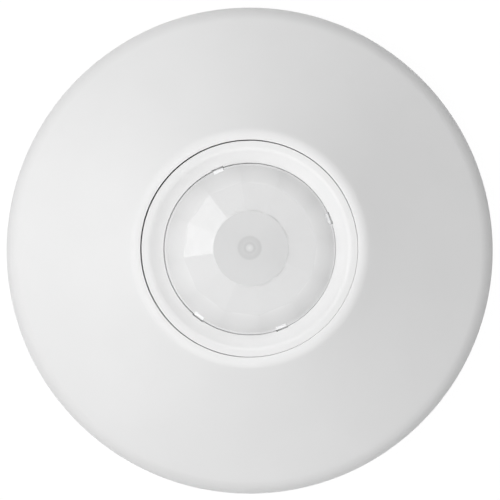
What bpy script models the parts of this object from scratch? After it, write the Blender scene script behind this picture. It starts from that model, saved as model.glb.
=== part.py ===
"""Ceiling-mount passive infrared motion sensor, modelled as the assembly it is built from.

Frame: origin at the centre of the back face that lies against the ceiling, +Z away from the
ceiling, towards the room, so the object lies on its back with its lens up. All dimensions are
in millimetres and are turned into metres when an object is made.
"""

import math

import bmesh
import bpy
from mathutils import Matrix, Vector

MILLIMETRE = 0.001

# ---------------------------------------------------------------- shared dimensions
OVERALL_R = 57.8            # half of the 115.6 mm diameter
OVERALL_H = 39.4            # back face to the top of the lens
OPENING_R = 25.92           # hole in the cover
LENS_SEAT_Z = 24.3

SNAP_DEG = [45 + 90 * k for k in range(4)]
TAB_DEG = (21.0, 112.0, 233.0, 292.0)   # keyed, so the lens fits one way only

HOUSING_SCREW_XY = [(side_x * 27.8, side_y * 16.8) for side_x in (1, -1) for side_y in (1, -1)]
MAIN_SCREW_XY = ((-21.0, 18.5), (21.0, -18.5))

# Boards: z of the back and front face, and the height at which their parts sit
MAIN_Z = (2.6, 4.2)
SENSE_Z = (14.7, 16.3)
PART_GAP = 0.3
MAIN_PART_Z = MAIN_Z[1] + PART_GAP
SENSE_PART_Z = SENSE_Z[1] + PART_GAP

SWITCH_X = -30.5
BUTTON_AXIS_Z = 9.0
TERMINAL_X = 30.5
TERMINAL_Y = (-5.0, 0.0, 5.0)
RELEASE_AXIS_Z = 10.2

RELAY_ORIGIN = (0.0, -14.5, 4.4)
RELAY_HINGE = (2.9, 0.0, 2.35)      # in the relay's frame
BLADE_FOOT = (5.45, 0.0, 1.6)       # in the relay's frame


# ---------------------------------------------------------------- materials
# finish: (base colour, roughness, metallic)
FINISHES = {
    "cover_plastic": ((0.86, 0.86, 0.855), 0.42, 0.0),
    "housing_plastic": ((0.88, 0.88, 0.875), 0.38, 0.0),
    "lens_plastic": ((0.80, 0.81, 0.81), 0.30, 0.0),
    "base_plastic": ((0.80, 0.80, 0.79), 0.50, 0.0),
    "collar_plastic": ((0.82, 0.82, 0.80), 0.45, 0.0),
    "button_plastic": ((0.12, 0.13, 0.14), 0.40, 0.0),
    "release_plastic": ((0.85, 0.36, 0.06), 0.40, 0.0),
    "terminal_plastic": ((0.05, 0.22, 0.10), 0.45, 0.0),
    "black_plastic": ((0.025, 0.025, 0.027), 0.45, 0.0),
    "relay_plastic": ((0.03, 0.03, 0.035), 0.30, 0.0),
    "board": ((0.03, 0.16, 0.07), 0.35, 0.0),
    "steel_screw": ((0.62, 0.62, 0.63), 0.30, 1.0),
    "can_metal": ((0.74, 0.73, 0.70), 0.22, 1.0),
    "gold_pin": ((0.83, 0.64, 0.30), 0.25, 1.0),
    "filter_glass": ((0.05, 0.05, 0.06), 0.12, 0.0),
    "ceramic": ((0.75, 0.70, 0.60), 0.60, 0.0),
    "led_epoxy": ((0.75, 0.10, 0.06), 0.15, 0.0),
    "copper_wire": ((0.72, 0.30, 0.12), 0.35, 1.0),
    "soft_iron": ((0.50, 0.50, 0.52), 0.40, 1.0),
    "spring_bronze": ((0.78, 0.52, 0.26), 0.30, 1.0),
    "capacitor_sleeve": ((0.03, 0.05, 0.12), 0.35, 0.0),
    "ferrite": ((0.09, 0.09, 0.10), 0.55, 0.0),
    "varistor_coat": ((0.03, 0.14, 0.42), 0.40, 0.0),
}


def piece_material(name, finish):
    """Every piece gets its own copy of its finish."""
    colour, roughness, metallic = FINISHES[finish]
    made = bpy.data.materials.new(finish + "__" + name)
    made.use_nodes = True
    shader = made.node_tree.nodes["Principled BSDF"]
    shader.inputs["Base Color"].default_value = (*colour, 1.0)
    shader.inputs["Roughness"].default_value = roughness
    shader.inputs["Metallic"].default_value = metallic
    made.diffuse_color = (*colour, 1.0)
    return made


# ---------------------------------------------------------------- scene and axes
for old in list(bpy.data.objects):
    bpy.data.objects.remove(old, do_unlink=True)


def empty(name, at=(0, 0, 0), parent=None):
    made = bpy.data.objects.new(name, None)
    made.empty_display_size = 0.01
    bpy.context.scene.collection.objects.link(made)
    made.parent = parent
    made.location = Vector(at) * MILLIMETRE
    return made


ROOT = empty("motion_sensor")
COVER_AXIS = empty("cover_release_axis", (0, 0, 0), ROOT)
LENS_AXIS = empty("lens_release_axis", (0, 0, LENS_SEAT_Z), ROOT)
BUTTON_AXIS = empty("program_button_axis", (SWITCH_X, 0, BUTTON_AXIS_Z), ROOT)
RELAY = empty("relay_origin", RELAY_ORIGIN, ROOT)
ARMATURE_AXIS = empty("relay_armature_axis", RELAY_HINGE, RELAY)
BLADE_AXIS = empty("relay_blade_axis", BLADE_FOOT, RELAY)


# ---------------------------------------------------------------- outlines
def polar(radius, degrees):
    return radius * math.cos(math.radians(degrees)), radius * math.sin(math.radians(degrees))


def arc(centre, radius, start, end, steps):
    """Points on a circle, from one angle to another in degrees."""
    points = []
    for k in range(steps + 1):
        x, y = polar(radius, start + (end - start) * k / steps)
        points.append((centre[0] + x, centre[1] + y))
    return points


def rounded_rectangle(half_x, half_y, corner_r):
    points = []
    for quarter, (side_x, side_y) in enumerate(((1, 1), (-1, 1), (-1, -1), (1, -1))):
        centre = (side_x * (half_x - corner_r), side_y * (half_y - corner_r))
        points += arc(centre, corner_r, 90 * quarter, 90 * quarter + 90, 5)
    return points


# ---------------------------------------------------------------- shapes, added to a bmesh
def bridge(shape, first, second):
    """Joins two closed loops of equally many vertices with quads."""
    for k in range(len(first)):
        after = (k + 1) % len(first)
        shape.faces.new((first[k], second[k], second[after], first[after]))


def fan(shape, pole, ring):
    for k in range(len(ring)):
        shape.faces.new((pole, ring[k], ring[(k + 1) % len(ring)]))


def extrusion(shape, first_points, last_points):
    """A capped solid between two matching outlines; returns its vertices."""
    first = [shape.verts.new(point) for point in first_points]
    last = [shape.verts.new(point) for point in last_points]
    shape.faces.new(first[::-1])
    shape.faces.new(last)
    bridge(shape, first, last)
    return first + last


def prism(shape, outline, low_z, high_z):
    """Extrudes an (x, y) outline from low_z to high_z."""
    extrusion(shape, [(x, y, low_z) for x, y in outline], [(x, y, high_z) for x, y in outline])


def radial(shape, outline, half_width, degrees):
    """Extrudes a (radius, z) outline sideways by half_width each way, turned to a direction."""
    made = extrusion(shape, [(radius, -half_width, z) for radius, z in outline],
                     [(radius, half_width, z) for radius, z in outline])
    bmesh.ops.rotate(shape, verts=made, cent=(0, 0, 0),
                     matrix=Matrix.Rotation(math.radians(degrees), 3, "Z"))


def box(shape, low, high):
    prism(shape, [low[:2], (high[0], low[1]), high[:2], (low[0], high[1])], low[2], high[2])


def span(half_x, half_y, low_z, high_z, centre=(0, 0)):
    """Low and high corner of a box that is centred in x and y."""
    x, y = centre
    return (x - half_x, y - half_y, low_z), (x + half_x, y + half_y, high_z)


def lathe(shape, outline, segments, axis="Z", centre=(0, 0, 0)):
    """Spins a closed (radius, height) outline. Points at radius 0 become a single pole."""
    rings = []
    for radius, height in outline:
        if radius < 1e-6:
            rings.append([shape.verts.new((0, 0, height))])
        else:
            rings.append([shape.verts.new((*polar(radius, 360 * k / segments), height))
                          for k in range(segments)])
    for ring, following in zip(rings, rings[1:] + rings[:1]):
        if len(ring) == 1 and len(following) == 1:
            continue
        if len(ring) == 1:
            fan(shape, ring[0], following)
        elif len(following) == 1:
            fan(shape, following[0], ring)
        else:
            bridge(shape, ring, following)
    made = [vertex for ring in rings for vertex in ring]
    if axis == "X":
        bmesh.ops.rotate(shape, verts=made, cent=(0, 0, 0),
                         matrix=Matrix.Rotation(math.pi / 2, 3, "Y"))
    elif axis == "Y":
        bmesh.ops.rotate(shape, verts=made, cent=(0, 0, 0),
                         matrix=Matrix.Rotation(-math.pi / 2, 3, "X"))
    bmesh.ops.translate(shape, verts=made, vec=centre)


def cylinder(shape, radius, low_z, high_z, segments, centre=(0, 0)):
    lathe(shape, [(0, low_z), (radius, low_z), (radius, high_z), (0, high_z)], segments,
          centre=(*centre, 0))


# ---------------------------------------------------------------- objects and modifiers
def mesh_object(name, shape, parent):
    """Turns a bmesh in millimetres into an object, with its faces pointing out."""
    bmesh.ops.remove_doubles(shape, verts=shape.verts, dist=1e-4)
    bmesh.ops.recalc_face_normals(shape, faces=shape.faces)
    bmesh.ops.scale(shape, vec=(MILLIMETRE,) * 3, verts=shape.verts)
    mesh = bpy.data.meshes.new(name)
    shape.to_mesh(mesh)
    shape.free()
    made = bpy.data.objects.new(name, mesh)
    bpy.context.scene.collection.objects.link(made)
    made.parent = parent
    return made


def piece(name, finish, shape, at=(0, 0, 0), parent=ROOT, sharp_degrees=35.0):
    made = mesh_object(name, shape, parent)
    made.location = Vector(at) * MILLIMETRE
    made.data.materials.append(piece_material(name, finish))
    made.data.shade_smooth()
    made.data.set_sharp_from_angle(angle=math.radians(sharp_degrees))
    return made


def lathed_piece(name, finish, outline, segments, axis="Z", centre=(0, 0, 0), **placing):
    shape = bmesh.new()
    lathe(shape, outline, segments, axis, centre)
    return piece(name, finish, shape, **placing)


def box_piece(name, finish, low, high, **placing):
    shape = bmesh.new()
    box(shape, low, high)
    return piece(name, finish, shape, **placing)


def boolean(target, name, shape, operation):
    """Combines a piece with a hidden helper that shares its parent and origin."""
    helper = mesh_object(name, shape, target.parent)
    helper.location = target.location
    helper.hide_render = True
    helper.display_type = "WIRE"
    modifier = target.modifiers.new(operation.lower() + "_" + name, "BOOLEAN")
    modifier.object = helper
    modifier.operation = operation
    modifier.solver = "EXACT"


def unite(target, name, shape):
    boolean(target, name, shape, "UNION")


def cut(target, name, shape):
    boolean(target, name, shape, "DIFFERENCE")


def bevel(target, width):
    modifier = target.modifiers.new("bevel", "BEVEL")
    modifier.width = width * MILLIMETRE
    modifier.segments = 1
    modifier.limit_method = "ANGLE"
    modifier.angle_limit = math.radians(40)


# ---------------------------------------------------------------- front cover
# A straight cone between a rolled rim and a rounded crest
COVER_WALL = 2.0
CONE_DEG = 32.0             # slope of the cone
RIM_R = 6.3                 # outer radius of the rolled rim
RIM_Z = 5.5                 # height where the vertical skirt ends
CONE_TOP_R = 28.6           # radius where the cone meets the crest
CREST_R = 4.15              # outer radius of the crest
COLLAR_R = 27.5             # outside of the guide collar under the crest
COLLAR_Z = 19.5             # lower end of the guide collar
COVER_Z = 0.4               # lower edge of the skirt
COVER_CHAMFER = 0.2         # at the lower edge
OPENING_CHAMFER = 0.25      # at the cover's hole and at the turret inside it

# Ribs under the cone: (radius, z)
RIB_OUTLINE = [(26.7, 19.0), (37.6, 19.0), (37.6, 20.4), (28.8, 25.9), (26.7, 25.9)]
RIB_HALF = 0.6
RIB_COUNT = 8
# Beads that the base's snap fingers pass: (radius, z)
BEAD_OUTLINE = [(55.6, 2.6), (55.9, 2.3), (56.8, 2.3), (56.8, 3.6), (55.9, 3.6), (55.6, 3.2)]
BEAD_HALF = 4.0


def cover_profile():
    """The cover's (radius, z) outline and the height of its crest."""
    tilt = math.radians(CONE_DEG)
    rim = (OVERALL_R - RIM_R, RIM_Z)
    inner_r = RIM_R - COVER_WALL
    cone_low = (rim[0] + RIM_R * math.sin(tilt), RIM_Z + RIM_R * math.cos(tilt))
    cone_top_z = cone_low[1] + (cone_low[0] - CONE_TOP_R) * math.tan(tilt)
    crest = (CONE_TOP_R - CREST_R * math.sin(tilt), cone_top_z - CREST_R * math.cos(tilt))
    top = crest[1] + CREST_R
    inner_low = (rim[0] + inner_r * math.sin(tilt), RIM_Z + inner_r * math.cos(tilt))
    inner_top_z = inner_low[1] + (inner_low[0] - COLLAR_R) * math.tan(tilt)
    outline = [(OPENING_R, COLLAR_Z), (OPENING_R, top - OPENING_CHAMFER),
               (OPENING_R + OPENING_CHAMFER, top)]
    outline += arc(crest, CREST_R, 90, 90 - CONE_DEG, 3)
    outline += arc(rim, RIM_R, 90 - CONE_DEG, 0, 5)
    outline += [(OVERALL_R, COVER_Z + COVER_CHAMFER), (OVERALL_R - COVER_CHAMFER, COVER_Z),
                (OVERALL_R - COVER_WALL, COVER_Z)]
    outline += arc(rim, inner_r, 0, 90 - CONE_DEG, 3)
    outline += [(COLLAR_R, inner_top_z), (COLLAR_R, COLLAR_Z)]
    return outline, top


COVER_OUTLINE, CREST_Z = cover_profile()


def build_front_cover():
    cover = lathed_piece("front_cover", "cover_plastic", COVER_OUTLINE, 72, parent=COVER_AXIS)
    shape = bmesh.new()
    spacing = 360 / RIB_COUNT
    for k in range(RIB_COUNT):
        radial(shape, RIB_OUTLINE, RIB_HALF, spacing / 2 + spacing * k)
    for degrees in SNAP_DEG:
        radial(shape, BEAD_OUTLINE, BEAD_HALF, degrees)
    unite(cover, "cover_ribs_union", shape)


# ---------------------------------------------------------------- sensor housing
# A low body with a round turret whose top is the ring round the lens
TURRET_R = OPENING_R - 0.3
TURRET_INNER_R = 23.6
TURRET_FOOT_Z = 11.0        # inside the body
TURRET_HOLLOW_Z = 13.2
RING_FLAT_R = 24.3          # inner end of the ring's flat crest
RING_SLOPE_R = 23.0         # where the straight inner slope starts
RING_EDGE_R = 20.7          # where the inner slope ends
RING_EDGE_DROP = 0.4
RING_SLOPE_DEG = 28.0
RING_UNDER_Z = 22.5
LENS_POCKET_R = 20.5
APERTURE_R = 18.7
BODY_X, BODY_Y, BODY_CORNER_R = 38.0, 27.0, 14.0   # half length, half width, corner radius
BODY_Z = (2.1, 16.0)
BODY_WALL = 1.6
BODY_CHAMFER = 0.8
SENSE_SCREW_XY = [polar(20.6, 90.0 + 120.0 * k) for k in range(3)]

# Posts and their blind holes: (radius, low z, high z, segments)
BODY_POST = (3.3, 4.95, BODY_Z[1] - 0.9, 14)
BODY_POST_HOLE = (1.5, 4.0, 12.5, 10)
TURRET_POST = (3.2, SENSE_Z[1] + 0.3, RING_UNDER_Z + 0.8, 14)
TURRET_POST_HOLE = (1.0, SENSE_Z[1] - 0.5, 21.2, 8)

# Notches for the lens tabs: (radius, z)
NOTCH_OUTLINE = [(20.2, LENS_SEAT_Z + 0.02), (20.95, LENS_SEAT_Z + 0.02), (20.95, 28.5),
                 (20.2, 28.5)]
NOTCH_HALF = 1.6
TOP_HOLE_Z = (BODY_Z[1] - 3, BODY_Z[1] + 1)
BUTTON_HOLE_R = 2.5
RELEASE_HOLE_HALF = 1.6
WIRE_OPENING = ((BODY_X - 3, -7.2, 4.8), (BODY_X + 2, 7.2, 9.6))


def body_outline(inset):
    return rounded_rectangle(BODY_X - inset, BODY_Y - inset, BODY_CORNER_R - inset)


def ring_outline():
    """The turret from its foot, over the ring round the lens, down into the lens pocket."""
    tilt = math.radians(RING_SLOPE_DEG)
    round_r = (RING_FLAT_R - RING_SLOPE_R) / math.sin(tilt)
    slope_z = CREST_Z - round_r * (1 - math.cos(tilt))
    edge_z = slope_z - (RING_SLOPE_R - RING_EDGE_R) * math.tan(tilt)
    outline = [(0, TURRET_FOOT_Z), (TURRET_R, TURRET_FOOT_Z),
               (TURRET_R, CREST_Z - OPENING_CHAMFER), (TURRET_R - OPENING_CHAMFER, CREST_Z)]
    outline += arc((RING_FLAT_R, CREST_Z - round_r), round_r, 90, 90 + RING_SLOPE_DEG, 2)
    outline += [(RING_EDGE_R, edge_z), (LENS_POCKET_R, edge_z - RING_EDGE_DROP),
                (LENS_POCKET_R, LENS_SEAT_Z), (0, LENS_SEAT_Z)]
    return outline


def housing_body_shape():
    """The body with a chamfer round its top."""
    shape = bmesh.new()
    levels = ((0, BODY_Z[0]), (0, BODY_Z[1] - BODY_CHAMFER), (BODY_CHAMFER, BODY_Z[1]))
    low, middle, high = [[shape.verts.new((x, y, z)) for x, y in body_outline(inset)]
                         for inset, z in levels]
    shape.faces.new(low[::-1])
    shape.faces.new(high)
    bridge(shape, low, middle)
    bridge(shape, middle, high)
    return shape


def add_posts(shape, body_post, turret_post):
    """A cylinder at each housing screw and at each sensor board screw."""
    for post, places in ((body_post, HOUSING_SCREW_XY), (turret_post, SENSE_SCREW_XY)):
        for place in places:
            cylinder(shape, *post, place)


def build_sensor_housing():
    housing = piece("sensor_housing", "housing_plastic", housing_body_shape())

    shape = bmesh.new()
    lathe(shape, ring_outline(), 64)
    unite(housing, "housing_turret_union", shape)

    shape = bmesh.new()
    prism(shape, body_outline(BODY_WALL), 1.0, BODY_Z[1] - BODY_WALL)
    cut(housing, "housing_body_cut", shape)

    shape = bmesh.new()
    lathe(shape, [(0, TURRET_HOLLOW_Z), (TURRET_INNER_R, TURRET_HOLLOW_Z),
                  (TURRET_INNER_R, RING_UNDER_Z), (APERTURE_R, RING_UNDER_Z),
                  (APERTURE_R, LENS_SEAT_Z + 1), (0, LENS_SEAT_Z + 1)], 48)
    cut(housing, "housing_turret_cut", shape)

    shape = bmesh.new()
    add_posts(shape, BODY_POST, TURRET_POST)
    unite(housing, "housing_posts_union", shape)

    shape = bmesh.new()
    add_posts(shape, BODY_POST_HOLE, TURRET_POST_HOLE)
    for degrees in TAB_DEG:
        radial(shape, NOTCH_OUTLINE, NOTCH_HALF, degrees)
    cylinder(shape, BUTTON_HOLE_R, *TOP_HOLE_Z, 16, (SWITCH_X, 0))
    for y in TERMINAL_Y:
        box(shape, *span(RELEASE_HOLE_HALF, RELEASE_HOLE_HALF, *TOP_HOLE_Z, (TERMINAL_X, y)))
    box(shape, *WIRE_OPENING)
    cut(housing, "housing_holes_cut", shape)


# ---------------------------------------------------------------- lens
# A thin dome of flat segments on a flange
LENS_WALL = 0.9
FLANGE_R = 20.2
FLANGE_Z = (24.5, 25.4)
DISC_R, DISC_Z = 8.87, 38.3
DOME_Z = OVERALL_H - 0.28   # halfway out on the disc
FACET_R, FACET_Z = 15.93, 32.5
SKIRT_R, SKIRT_Z = 18.5, 29.4
FOOT_R, FOOT_Z = 19.9, 25.9
FACETS = 12
POINTS_PER_FACET = 3
FACET_START = 7.5           # direction of the first corner, degrees

# (radius, z, straight between the facet corners), down the outside and up the inside
LENS_RINGS = [
    (DISC_R * 0.5, DOME_Z, False),
    (DISC_R, DISC_Z, False),
    (FACET_R, FACET_Z, True),
    (SKIRT_R, SKIRT_Z, False),
    (FOOT_R, FOOT_Z, False),
    (FOOT_R + 0.2, FLANGE_Z[1], False),
    (FLANGE_R, FLANGE_Z[1], False),
    (FLANGE_R, FLANGE_Z[0], False),
    (FOOT_R - LENS_WALL + 0.1, FLANGE_Z[0], False),
    (FOOT_R - LENS_WALL, FOOT_Z - 0.2, False),
    (SKIRT_R - 0.85, SKIRT_Z - 0.35, False),
    (FACET_R - 0.75, FACET_Z - 0.6, True),
    (DISC_R - 0.4, DISC_Z - 0.85, False),
    (DISC_R * 0.5, DOME_Z - LENS_WALL, False),
]
# (radius, z)
TAB_OUTLINE = [(19.6, 24.6), (20.65, 24.6), (20.65, 25.3), (20.3, 25.3), (20.3, 26.1), (19.6, 26.1)]
TAB_HALF = 1.3


def lens_ring(radius, z, straight):
    """Points round the lens, on a circle or on straight chords between the corners."""
    step = 360.0 / FACETS
    points = []
    for facet in range(FACETS):
        angle = FACET_START + step * facet
        start, end = polar(radius, angle), polar(radius, angle + step)
        for k in range(POINTS_PER_FACET):
            part = k / POINTS_PER_FACET
            if straight:
                points.append((start[0] * (1 - part) + end[0] * part,
                               start[1] * (1 - part) + end[1] * part, z))
            else:
                points.append((*polar(radius, angle + step * part), z))
    return points


def build_lens():
    to_seat = (0, 0, -LENS_SEAT_Z)
    shape = bmesh.new()
    rings = [[shape.verts.new(point) for point in lens_ring(*ring)] for ring in LENS_RINGS]
    for ring, following in zip(rings, rings[1:]):
        bridge(shape, ring, following)
    fan(shape, shape.verts.new((0, 0, OVERALL_H)), rings[0])
    fan(shape, shape.verts.new((0, 0, OVERALL_H - LENS_WALL)), rings[-1])
    bmesh.ops.translate(shape, verts=shape.verts, vec=to_seat)
    lens = piece("fresnel_lens", "lens_plastic", shape, parent=LENS_AXIS, sharp_degrees=10)

    shape = bmesh.new()
    for degrees in TAB_DEG:
        radial(shape, TAB_OUTLINE, TAB_HALF, degrees)
    bmesh.ops.translate(shape, verts=shape.verts, vec=to_seat)
    unite(lens, "lens_tabs_union", shape)


# ---------------------------------------------------------------- base plate
PLATE_R = 55.2
PLATE_T = 1.8
PLATE_CHAMFER = 0.4
RIM_INNER_R = 53.6
RIM_TOP_Z = 3.0
SLOT_Y = (34.9, 44.5)       # screw circle radii of 70 mm and 89 mm ceiling boxes
SLOT_HALF = 2.3
KEYHOLE_R = 4.6
CABLE_X, CABLE_R = 46.5, 6.3

# (radius, z)
PLATE_OUTLINE = [(0, 0), (PLATE_R - PLATE_CHAMFER, 0), (PLATE_R, PLATE_CHAMFER),
                 (PLATE_R, RIM_TOP_Z), (RIM_INNER_R, RIM_TOP_Z), (RIM_INNER_R, PLATE_T),
                 (0, PLATE_T)]
RIM_GAP_OUTLINE = [(52.6, PLATE_T), (56.4, PLATE_T), (56.4, 4.2), (52.6, 4.2)]
RIM_GAP_HALF = 6.2
FINGER_OUTLINE = [(53.7, 1.2), (54.9, 1.2), (54.9, 4.2), (55.3, 4.5), (55.3, 4.9), (54.9, 5.6),
                  (53.7, 5.6)]
FINGER_HALF = 3.5
# Stepped hole for a housing screw: wide for the head, narrow for the shank
SCREW_WELL = [(0, -1), (3.2, -1), (3.2, 2.5), (1.6, 2.5), (1.6, 6), (0, 6)]
# (radius, low z, high z, segments)
HOUSING_SCREW_POST = (4.2, 1.0, 4.6, 16)
MAIN_SCREW_POST = (2.6, 1.0, 2.35, 14)
MAIN_SCREW_HOLE = (1.0, 0.5, 3, 8)


def slot_outline(side):
    """A screw slot along Y whose inner end opens into a round keyhole."""
    inner, outer = SLOT_Y
    reach = math.sqrt(KEYHOLE_R ** 2 - SLOT_HALF ** 2)
    mouth = math.degrees(math.atan2(reach, SLOT_HALF))
    points = arc((0, inner), KEYHOLE_R, 180 - mouth, 360 + mouth, 12)
    points += arc((0, outer), SLOT_HALF, 0, 180, 6)
    return [(x, y * side) for x, y in points]


def build_base_plate():
    plate = lathed_piece("base_plate", "base_plastic", PLATE_OUTLINE, 64)

    shape = bmesh.new()
    for degrees in SNAP_DEG:
        radial(shape, RIM_GAP_OUTLINE, RIM_GAP_HALF, degrees)
    cut(plate, "base_rim_cut", shape)

    shape = bmesh.new()
    for degrees in SNAP_DEG:
        radial(shape, FINGER_OUTLINE, FINGER_HALF, degrees)
    for place in HOUSING_SCREW_XY:
        cylinder(shape, *HOUSING_SCREW_POST, place)
    for place in MAIN_SCREW_XY:
        cylinder(shape, *MAIN_SCREW_POST, place)
    unite(plate, "base_posts_union", shape)

    shape = bmesh.new()
    for side in (1, -1):
        prism(shape, slot_outline(side), -1, 3)
    cylinder(shape, CABLE_R, -1, 3, 24, (CABLE_X, 0))
    for x, y in HOUSING_SCREW_XY:
        lathe(shape, SCREW_WELL, 12, centre=(x, y, 0))
    for place in MAIN_SCREW_XY:
        cylinder(shape, *MAIN_SCREW_HOLE, place)
    cut(plate, "base_holes_cut", shape)


# ---------------------------------------------------------------- screws
# name, places, z of the head's outer face, z of the tip, head radius, head height, shank radius
SCREW_SETS = (
    ("housing_screw", HOUSING_SCREW_XY, 0.4, 11.8, 2.85, 1.8, 1.3),
    ("main_board_screw", MAIN_SCREW_XY, 5.8, 0.9, 2.0, 1.4, 0.8),
    ("sensor_board_screw", SENSE_SCREW_XY, 13.1, 20.4, 1.9, 1.3, 0.8),
)


def build_screw(name, place, head_z, tip_z, head_r, head_h, shank_r):
    """A pan head with a cross recess and a shank that ends in a point."""
    way = 1 if tip_z > head_z else -1
    length = tip_z - head_z
    outline = [(0, 0), (head_r * 0.72, 0), (head_r, way * head_h * 0.45), (head_r, way * head_h),
               (shank_r, way * head_h), (shank_r, length - way * shank_r), (0, length)]
    screw = lathed_piece(name, "steel_screw", outline, 12, at=(*place, head_z))

    slim, long = head_r * 0.16, head_r * 0.62
    cross = [(-slim, -long), (slim, -long), (slim, -slim), (long, -slim),
             (long, slim), (slim, slim), (slim, long), (-slim, long),
             (-slim, slim), (-long, slim), (-long, -slim), (-slim, -slim)]
    shape = bmesh.new()
    prism(shape, cross, *sorted((-way, way * head_h * 0.62)))
    cut(screw, name + "_recess_cut", shape)


def build_screws():
    for name, places, *sizes in SCREW_SETS:
        for k, place in enumerate(places):
            build_screw(f"{name}_{k + 1}", place, *sizes)


# ---------------------------------------------------------------- boards and their connector
MAIN_BOARD = (35.9, 24.9, 11.8)     # half length, half width, corner radius
SENSE_BOARD_R = 22.6
HEADER_Y = 14.0
HEADER_PITCH = 2.54
HEADER_X = [HEADER_PITCH * (k - 1.5) for k in range(4)]
STRIP_HALF = (5.2, 1.3)
PIN_HALF = 0.3
PIN_HOLE_HALF = 0.45
PIN_Z, PIN_LENGTH = 6.0, 11.2
PYRO_LEADS = ((1.8, 1.8), (-1.8, 1.8), (0.0, -2.54))

# name, z of the strip, z of its pin holes
HEADER_STRIPS = (
    ("socket", (MAIN_PART_Z, 12.6), (5.4, 13.5)),
    ("pin", (12.85, 14.4), (12, 15.5)),
)


def build_board(name, outline, board_z, holes):
    """A flat board; holes are (places, radius, segments)."""
    shape = bmesh.new()
    prism(shape, outline, *board_z)
    board = piece(name, "board", shape)
    shape = bmesh.new()
    for places, radius, segments in holes:
        for place in places:
            cylinder(shape, radius, board_z[0] - 1, board_z[1] + 1, segments, place)
    cut(board, name + "_holes_cut", shape)


def build_boards():
    build_board("main_board", rounded_rectangle(*MAIN_BOARD), MAIN_Z,
                [(HOUSING_SCREW_XY, 4.7, 16), (MAIN_SCREW_XY, 1.2, 10)])
    build_board("sensor_board", [polar(SENSE_BOARD_R, 7.5 * k) for k in range(48)], SENSE_Z,
                [(SENSE_SCREW_XY, 1.1, 8), (PYRO_LEADS, 0.5, 6),
                 ([(x, HEADER_Y) for x in HEADER_X], 0.6, 6)])


def build_board_connector():
    for name, strip_z, hole_z in HEADER_STRIPS:
        strip = box_piece(name + "_strip", "black_plastic",
                          *span(*STRIP_HALF, *strip_z, (0, HEADER_Y)))
        shape = bmesh.new()
        for x in HEADER_X:
            box(shape, *span(PIN_HOLE_HALF, PIN_HOLE_HALF, *hole_z, (x, HEADER_Y)))
        cut(strip, name + "_holes_cut", shape)
    for k, x in enumerate(HEADER_X):
        box_piece(f"header_pin_{k + 1}", "gold_pin", *span(PIN_HALF, PIN_HALF, 0, PIN_LENGTH),
                  at=(x, HEADER_Y, PIN_Z))


# ---------------------------------------------------------------- parts on the sensor board
# Outlines are (radius, z)
CAN_OUTLINE = [(4.55, 17.65), (4.55, 17.9), (4.15, 17.95), (4.15, 20.45), (3.9, 20.7),
               (0, 20.7), (0, 20.45), (3.9, 20.45), (3.9, 17.65)]
PYRO_HEADER_OUTLINE = [(0, 17.0), (4.55, 17.0), (4.55, 17.5), (0, 17.5)]
PYRO_COLLAR_OUTLINE = [(4.9, SENSE_PART_Z), (7.2, SENSE_PART_Z), (7.2, 17.2), (6.3, 17.8),
                       (6.1, 20.0), (5.7, 20.4), (4.9, 20.4)]
LEAD_OUTLINE = [(0, 0), (0.23, 0), (0.23, 3.2), (0, 3.2)]
LEAD_Z = 13.6
LED_R, LED_DOME_Z = 1.5, 20.2
LED_OUTLINE = [(0, SENSE_PART_Z), (1.9, SENSE_PART_Z), (1.9, 17.5), (LED_R, 17.5),
               (LED_R, LED_DOME_Z)] + arc((0, LED_DOME_Z), LED_R, 18, 90, 3)
LED_XY = (-1.6, -9.6)

# Boxes: half x, half y, low z, high z
WINDOW_HOLE = (2.3, 1.8, 20.0, 21.5)
WINDOW = (2.75, 2.25, 19.9, 20.3)
ELEMENT = (1.9, 1.4, 17.7, 18.7)
CHIP = (3.5, 3.5, SENSE_PART_Z, 17.7)
CHIP_XY = (11.5, 5.0)


def build_pyro_sensor():
    can = lathed_piece("pyro_can", "can_metal", CAN_OUTLINE, 20)
    shape = bmesh.new()
    box(shape, *span(*WINDOW_HOLE))
    cut(can, "pyro_window_cut", shape)
    lathed_piece("pyro_header", "can_metal", PYRO_HEADER_OUTLINE, 20)
    box_piece("pyro_window", "filter_glass", *span(*WINDOW))
    bevel(box_piece("pyro_element", "ceramic", *span(*ELEMENT)), 0.15)
    for k, place in enumerate(PYRO_LEADS):
        lathed_piece(f"pyro_lead_{k + 1}", "gold_pin", LEAD_OUTLINE, 8, at=(*place, LEAD_Z))
    lathed_piece("pyro_collar", "collar_plastic", PYRO_COLLAR_OUTLINE, 20)


def build_sensor_board_parts():
    lathed_piece("status_led", "led_epoxy", LED_OUTLINE, 16, at=(*LED_XY, 0))
    bevel(box_piece("microcontroller", "black_plastic", *span(*CHIP, CHIP_XY)), 0.2)


# ---------------------------------------------------------------- parts on the main board
# name, finish, (x, y), segments, (radius, height above the seat)
ROUND_PARTS = (
    ("capacitor_1", "capacitor_sleeve", (-14.5, 8.5), 18,
     [(0, 0), (3.8, 0), (4.0, 0.3), (4.0, 0.9), (3.75, 1.2), (4.0, 1.5), (4.0, 8.5),
      (3.7, 8.9), (0, 8.9)]),
    ("capacitor_2", "capacitor_sleeve", (-23.5, 9.5), 16,
     [(0, 0), (2.95, 0), (3.15, 0.3), (3.15, 0.8), (2.95, 1.05), (3.15, 1.3), (3.15, 6.8),
      (2.9, 7.1), (0, 7.1)]),
    ("power_inductor", "ferrite", (-19.0, -4.0), 18,
     [(0, 0), (3.8, 0), (3.8, 0.8), (2.4, 0.9), (2.4, 3.0), (3.8, 3.1), (3.8, 3.9), (0, 3.9)]),
)
# A disc on edge: (radius, y from its centre)
SUPPRESSOR_OUTLINE = [(0, -1.7), (2.9, -1.7), (3.5, -1.2), (3.5, 1.2), (2.9, 1.7), (0, 1.7)]
SUPPRESSOR_CENTRE = (19.0, 9.5, 8.4)
REGULATOR = ((14.4, -5.4, MAIN_PART_Z), (20.8, 0.4, 6.8))


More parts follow.
